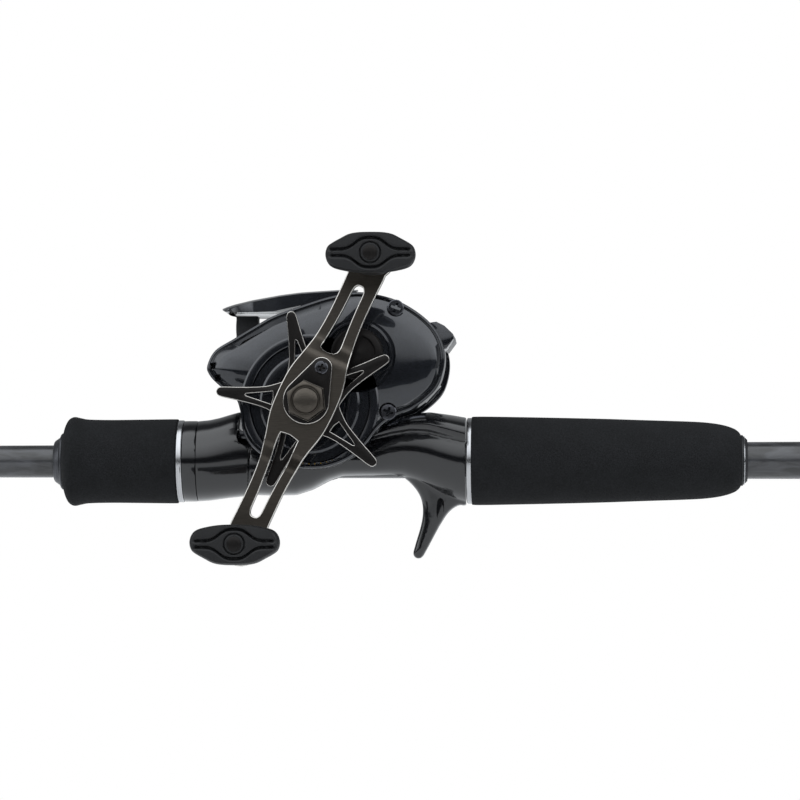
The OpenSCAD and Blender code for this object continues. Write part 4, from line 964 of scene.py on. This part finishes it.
# Fine matt moulding, 0.2 mm grain, greyer where the light skims it.
soft_touch = patterned(
    "soft_touch_rubber", "#08080a", "#111214", scale=4200.0, bump=(0.3, 0.00006), Roughness=0.5,
    Specular_IOR_Level=0.4)
knob_half = [
    (-12.9, -0.6), (-12.5, 1.4), (-11.4, 2.6), (-8.6, 4.2), (-6.2, 5.4), (-3.5, 5.9), (0, 6.0), (3.5, 5.9),
    (6.2, 5.4), (8.6, 4.2), (11.4, 2.6), (12.5, 1.4), (12.9, -0.6), (12.3, -2.7), (10.8, -4.1),
    (7.6, -5.0),
    (4, -5.5), (0, -5.6), (-4, -5.5), (-7.6, -5.0), (-10.8, -4.1), (-12.3, -2.7)]


def groove_depth(u, v):
    """The moulded face of a knob: an eye-shaped groove with drawn-out corners, round a round button."""
    from_centre = math.hypot(u, v)
    lid = 0.9 + 3.3 * math.exp(-abs(u / 5.0) ** 3)
    past_end = max(0.0, abs(u) - 10.6)
    groove = 1.2 * math.exp(-((abs(v) - lid) / 0.42) ** 2) * math.exp(-past_end ** 2)
    ring = 0.8 * math.exp(-((from_centre - 2.95) / 0.3) ** 2)
    inside = 0.3 if abs(v) < lid and abs(u) < 10.6 else 0.0
    return max(groove, ring, inside)


def paddle(flip):
    """A knob about its own spindle: rings of its outline along the spindle, then the moulded face."""
    line, _ = closed_curve(knob_half, 5)
    sections = [  # along the spindle from the handle, width and height scale
        (0.0, 0.42, 0.84), (0.6, 0.46, 0.92), (3.0, 0.46, 0.94), (5.5, 0.5, 0.9), (8.0, 0.66, 0.86),
        (10.5, 0.86, 0.88),
        (13.0, 0.97, 0.95), (15.5, 1.0, 1.0), (18.2, 1.0, 1.0), (19.5, 0.985, 0.975), (20.15, 0.955, 0.94)]
    bm = bmesh.new()
    rings = []
    smooth_sections = smooth_profile([(a, b) for a, b, _ in sections], 3)
    tall = smooth_profile([(a, c) for a, _, c in sections], 3)
    for (depth, wide), (_, high_) in zip(smooth_sections, tall):
        rings.append([bm.verts.new((flip * p.x * wide, -depth, flip * p.y * high_)) for p in line])
    for scale in [0.93 - 0.022 * i for i in range(40)]:
        ring = []
        for p in line:
            u, v = p.x * scale, p.y * scale
            crown = 0.3 * (1 - scale ** 2)
            ring.append(bm.verts.new((flip * u, -20.4 - crown + groove_depth(u, v), flip * v)))
        rings.append(ring)
    return skinned(bm, rings)


for side, joint, body, number in ((1, "top_knob_spin", "top_knob", 1),
        (-1, "bottom_knob_spin", "bottom_knob", 2)):
    axis = Vector(joints[joint]["pos_m"])
    low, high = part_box(f"knob_{number}")
    knob_bm = paddle(side)
    for v in knob_bm.verts:
        v.co = v.co * MM + Vector((axis.x, high.y, axis.z))
    knob = link_mesh(f"knob_paddle_{number}", knob_bm, soft_touch)
    bore_place = (axis.x, 0, axis.z)
    drilled(knob, bore_place, 2.06, -70, -30, 48)
    fit(crisp(knob, 45), body, "knob_rubber", f"knob_{number}")
    end = -low.y * 1000
    button = turned([(-end + 1.0, 0), (-end + 1.0, 2.05), (-end + 0.25, 2.05), (-end + 0.1, 1.6),
        (-end + 0.02, 0.9),
                     (-end, 0)], "Y", bore_place, 48, closed=False)
    fit(crisp(link_mesh(f"knob_button_{number}", button, dark), 30), body, "handle_anodised",
        f"knob_cap_{number}")


# ---- Cast control cap and brake dial ----
# Both are turned and knurled for the thumb: the cap has fine straight ridges, the dial has coarse
# ones. The ridges are one bar set out round the rim.

def ridges(name, count, radius, depth, bar, centre_, turn, material):
    """Sets a rounded bar out round a rim with Geometry Nodes and returns it as a plain mesh piece."""
    tree = bpy.data.node_groups.new(name, "GeometryNodeTree")
    for label, kind in (("Count", "NodeSocketInt"), ("Radius", "NodeSocketFloat"),
        ("Bar width", "NodeSocketFloat"),
                        ("Bar length", "NodeSocketFloat")):
        tree.interface.new_socket(label, in_out="INPUT", socket_type=kind)
    tree.interface.new_socket("Geometry", in_out="OUTPUT", socket_type="NodeSocketGeometry")
    given = add(tree, "NodeGroupInput")
    rim = add(tree, "GeometryNodeMeshCircle", Vertices=given.outputs["Count"],
        Radius=given.outputs["Radius"])
    post = add(tree, "GeometryNodeMeshCylinder", Vertices=8, Radius=given.outputs["Bar width"],
               Depth=given.outputs["Bar length"])
    placed = add(tree, "GeometryNodeInstanceOnPoints", Points=rim.outputs["Mesh"],
        Instance=post.outputs["Mesh"])
    real = add(tree, "GeometryNodeRealizeInstances", Geometry=placed.outputs["Instances"])
    coated = add(tree, "GeometryNodeSetMaterial", Geometry=real.outputs["Geometry"], Material=material)
    out = add(tree, "NodeGroupOutput")
    tree.links.new(coated.outputs["Geometry"], out.inputs["Geometry"])
    piece = bpy.data.objects.new(name, bpy.data.meshes.new(name))
    bpy.context.collection.objects.link(piece)
    made = piece.modifiers.new("ridges", "NODES")
    made.node_group = tree
    values = (count, radius * MM, bar * MM, depth * MM)
    sockets = [item for item in tree.interface.items_tree if item.in_out == "INPUT"]
    for socket, value in zip(sockets, values):
        made[socket.identifier] = value
    applied(piece)
    piece.data.transform(Matrix.Translation(centre_) @ Matrix.Rotation(math.radians(90), 4, "X"))
    return crisp(piece, 40)


low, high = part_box("cast_control_cap")
outer, inner = -low.y * 1000, -high.y * 1000
cap_radius = 7.75
cap_piece = crisp(link_mesh("cast_cap", turned(
    [(-inner, 5.07), (-inner, cap_radius - 0.1), (-outer + 0.9, cap_radius - 0.1),
    (-outer + 0.35, cap_radius - 0.5),
     (-outer + 0.05, cap_radius - 1.3), (-outer, cap_radius - 2.2), (-outer + 0.35, cap_radius - 2.7),
     (-outer + 0.4, 2.0), (-outer + 0.2, 1.2), (-outer + 0.2, 0), (-outer + 1.1, 0), (-outer + 1.1, 5.07)],
    "Y", spool_centre, 96), dark), 30)
fit(cap_piece, "cast_cap", "handle_anodised", "cast_control_cap")
rim_y = -(outer - 1.0 + inner) / 2
cap_grip = ridges("cast_cap_ridges", 40, cap_radius - 0.12, outer - inner - 1.3, 0.24,
                  (spool_axis.x, rim_y * MM, spool_axis.z), 0, dark)
fit(cap_grip, "cast_cap", "handle_anodised")

low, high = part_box("brake_dial")
inner, outer = low.y * 1000, high.y * 1000
dial_radius = 8.2
dial = crisp(link_mesh("dial_wheel", turned(
    [(inner, 0), (inner, 2), (palm - 0.5, 2), (palm - 0.5, dial_radius), (outer - 0.5, dial_radius),
     (outer - 0.1, dial_radius - 0.5), (outer, dial_radius - 1.2), (outer - 0.3, dial_radius - 1.8),
     (outer - 0.3, 0)], "Y", spool_centre, 96, closed=False), dark), 30)
fit(dial, "dial", "nut_nylon", "brake_dial")
dial_grip = ridges("dial_ridges", 24, dial_radius - 0.05, outer - palm - 0.5, 0.35,
                   (spool_axis.x, (outer + palm - 0.3) / 2 * MM, spool_axis.z), 0, dark)
fit(dial_grip, "dial", "nut_nylon")


# ---- Spool ----
# Turned from aluminium bar and anodised, with thin flanges. The row of lightening holes round the arbor is
# left out.

# Graphite-blue anodising over fine turning, 0.1 mm feed.
spool_metal = patterned(
    "anodised_spool", "#6a6d74", "#8f929a", stretch=(200, 9000, 200), Metallic=1.0,
    Roughness=0.27)
low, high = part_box("spool")
half, flange = high.y * 1000, (high.x - low.x) * 500
spool_profile = [
    (-half, 1.52), (-half, 6), (-half + 0.5, 7), (-half + 0.1, 12), (-half, flange - 0.6),
    (-half + 0.3, flange),
    (-half + 0.9, flange), (-half + 1.0, flange - 0.5), (-half + 1.3, flange - 4), (-half + 2.4, 9.2),
    (-half + 4.5, 8.2), (0, 7.9), (half - 4.5, 8.2), (half - 2.4, 9.2), (half - 1.3, flange - 4),
    (half - 1.0, flange - 0.5), (half - 0.9, flange), (half - 0.3, flange), (half, flange - 0.6),
    (half - 0.1, 12),
    (half - 0.5, 7), (half, 6.2), (half - 5.9, 6.2), (half - 5.9, 1.52)]
spool = crisp(link_mesh("line_spool", turned(spool_profile, "Y", spool_centre, 128), spool_metal), 28)
fit(spool, "spool", "spool_anodised", "spool")


# ---- Line guides and tip-top ----
# Bent from stainless wire and plated black, with a polished ceramic ring in each hoop. Every foot is
# bound to the blank with thread and coated in epoxy.

def thread_under_epoxy():
    # Size A thread, 0.15 mm, wound side by side; drawn every 0.4 mm so that it shows.
    material, tree, shader = new_material("thread_under_epoxy", Roughness=0.4, Coat_Weight=1.0,
        Coat_Roughness=0.03)
    place = add(tree, "ShaderNodeTexCoord")
    winds = add(tree, "ShaderNodeTexWave", {"bands_direction": "X"}, Vector=place.outputs["Object"],
                Scale=2500.0 / math.tau, Distortion=0.4)
    ramp = add(tree, "ShaderNodeValToRGB", Fac=winds.outputs["Fac"])
    ramp.color_ramp.elements[0].color = linear("#08080a")
    ramp.color_ramp.elements[1].color = linear("#1e1f23")
    tree.links.new(ramp.outputs["Color"], shader.inputs["Base Color"])
    return material


# Black chrome over steel wire: dark and glossy, with a faint 0.5 mm mottle.
wire = patterned(
    "black_plated_wire", "#2a2b2e", "#45464a", scale=2000.0, Metallic=1.0, Roughness=0.22)

# Dense sintered ring, lapped to a gloss, with a faint 0.2 mm speckle.
ceramic = patterned(
    "polished_ceramic", "#2b2c30", "#3d3f44", scale=5000.0, Roughness=0.12, Coat_Weight=0.4,
    Coat_Roughness=0.03)
thread_wrap = thread_under_epoxy()
for node, material, body in (
        ("guide_frames", wire, "rod"), ("guide_rings", ceramic, "rod"), ("tip_top", wire, "rod"),
        ("guide_wraps", thread_wrap, "rod")):
    frame["nodes"][node].data.materials.clear()
    frame["nodes"][node].data.materials.append(material)


# ---- Inner pieces ----
# Steel shafts, screws and bearings, brass gears and bushes, acetal wheels, the copper rotor and the
# magnets keep their CAD shapes and get their own finishes.

# Hobbed brass, faint tool marks of 0.2 mm.
brass = patterned(
    "cut_brass", "#a8843f", "#d6b469", scale=5000.0, Metallic=1.0, Roughness=0.28)

# Natural acetal: milky, waxy, with slight flow clouding of 2 mm.
acetal = patterned(
    "moulded_acetal", "#d4cfc0", "#e8e4d8", scale=500.0, Roughness=0.45)

# Glass-filled black nylon: satin, with a grey 0.4 mm fibre mottle.
nylon = patterned(
    "moulded_nylon", "#131417", "#26282c", scale=2500.0, detail=3.0, Roughness=0.5)

# Plated copper rotor, slightly tarnished in 1 mm clouds.
copper = patterned(
    "copper_plate", "#a5603a", "#c98a62", scale=1000.0, Metallic=1.0, Roughness=0.3)
inner_finish = {
    steel: "main_shaft_bearing one_way_bearing spool_bearings ratchet_pawl yoke_posts "
           "level_wind_rail crank_shaft ratchet_wheel knob_spindles spool_shaft clutch_yoke "
           "line_guide_pawl brake_magnets",
    brass: "worm_bushes main_gear pinion_gear worm_shaft",
    acetal: "level_wind_drive_gear idler_gear worm_gear magnet_holder",
    nylon: "lock_nut line_guide drag_washers",
    copper: "brake_rotor",
    ceramic: "line_guide_insert"}
for material, nodes in inner_finish.items():
    for node in nodes.split():
        frame["nodes"][node].data.materials.clear()
        frame["nodes"][node].data.materials.append(material)


# ---- Floor and light ----
# A plain pale floor and a white backdrop. The studio round the object is a wide softbox overhead, from
# above the camera to just behind the object, a dim floor and darkness about the camera itself.

floor_bm = bmesh.new()
floor_half = 3
floor_height = -0.45
bmesh.ops.create_grid(floor_bm, x_segments=1, y_segments=1, size=floor_half)
for v in floor_bm.verts:
    v.co.z = floor_height

# Painted board: matt white with a barely seen 20 mm mottle.
board = patterned(
    "pale_floor", "#f4f4f4", "#fafafa", scale=50.0, Roughness=0.9, Specular_IOR_Level=0.1)
floor = link_mesh("floor", floor_bm, board)

# How bright the studio is by the angle about the rod's axis, in degrees: 0 is towards the camera,
# 90 is straight up, 180 is behind and -90 is straight down.
studio = [(-180, 0.3), (-150, 0.3), (-110, 0.5), (-60, 0.6), (-32, 0.4), (-22, 0.25), (-14, 0.02),
    (-6, 0.008), (5, 0.01),
          (9, 0.8), (20, 1.3), (40, 1.8), (88, 1.8), (100, 0.1), (118, 0.08), (135, 0.25), (180, 0.3)]
world = bpy.data.worlds.new("studio")
bpy.context.scene.world = world
world.use_nodes = True
sky = world.node_tree
sky.nodes.clear()
ray = add(sky, "ShaderNodeLightPath")
way = add(sky, "ShaderNodeTexCoord")
axes = add(sky, "ShaderNodeSeparateXYZ", Vector=way.outputs["Generated"])
back = add(sky, "ShaderNodeMath", {"operation": "MULTIPLY"}, _0=axes.outputs["Y"], _1=-1.0)
turn = add(sky, "ShaderNodeMath", {"operation": "ARCTAN2"}, _0=axes.outputs["Z"], _1=back.outputs[0])
share = add(sky, "ShaderNodeMapRange", Value=turn.outputs[0], _1=-math.pi, _2=math.pi, _3=0.0, _4=1.0)
shine = add(sky, "ShaderNodeValToRGB", Fac=share.outputs[0])
while len(shine.color_ramp.elements) < len(studio):
    shine.color_ramp.elements.new(0.5)
for stop, (angle, level) in zip(shine.color_ramp.elements, studio):
    stop.position = (angle + 180) / 360
    stop.color = (level * 0.94, level * 0.97, level, 1)
white = add(sky, "ShaderNodeMix", {"data_type": "RGBA"}, _0=ray.outputs["Is Camera Ray"],
            _6=shine.outputs["Color"], _7=(1, 1, 1, 1))
glow = add(sky, "ShaderNodeBackground", Color=white.outputs[2], Strength=1.0)
add(sky, "ShaderNodeOutputWorld", Surface=glow.outputs[0])
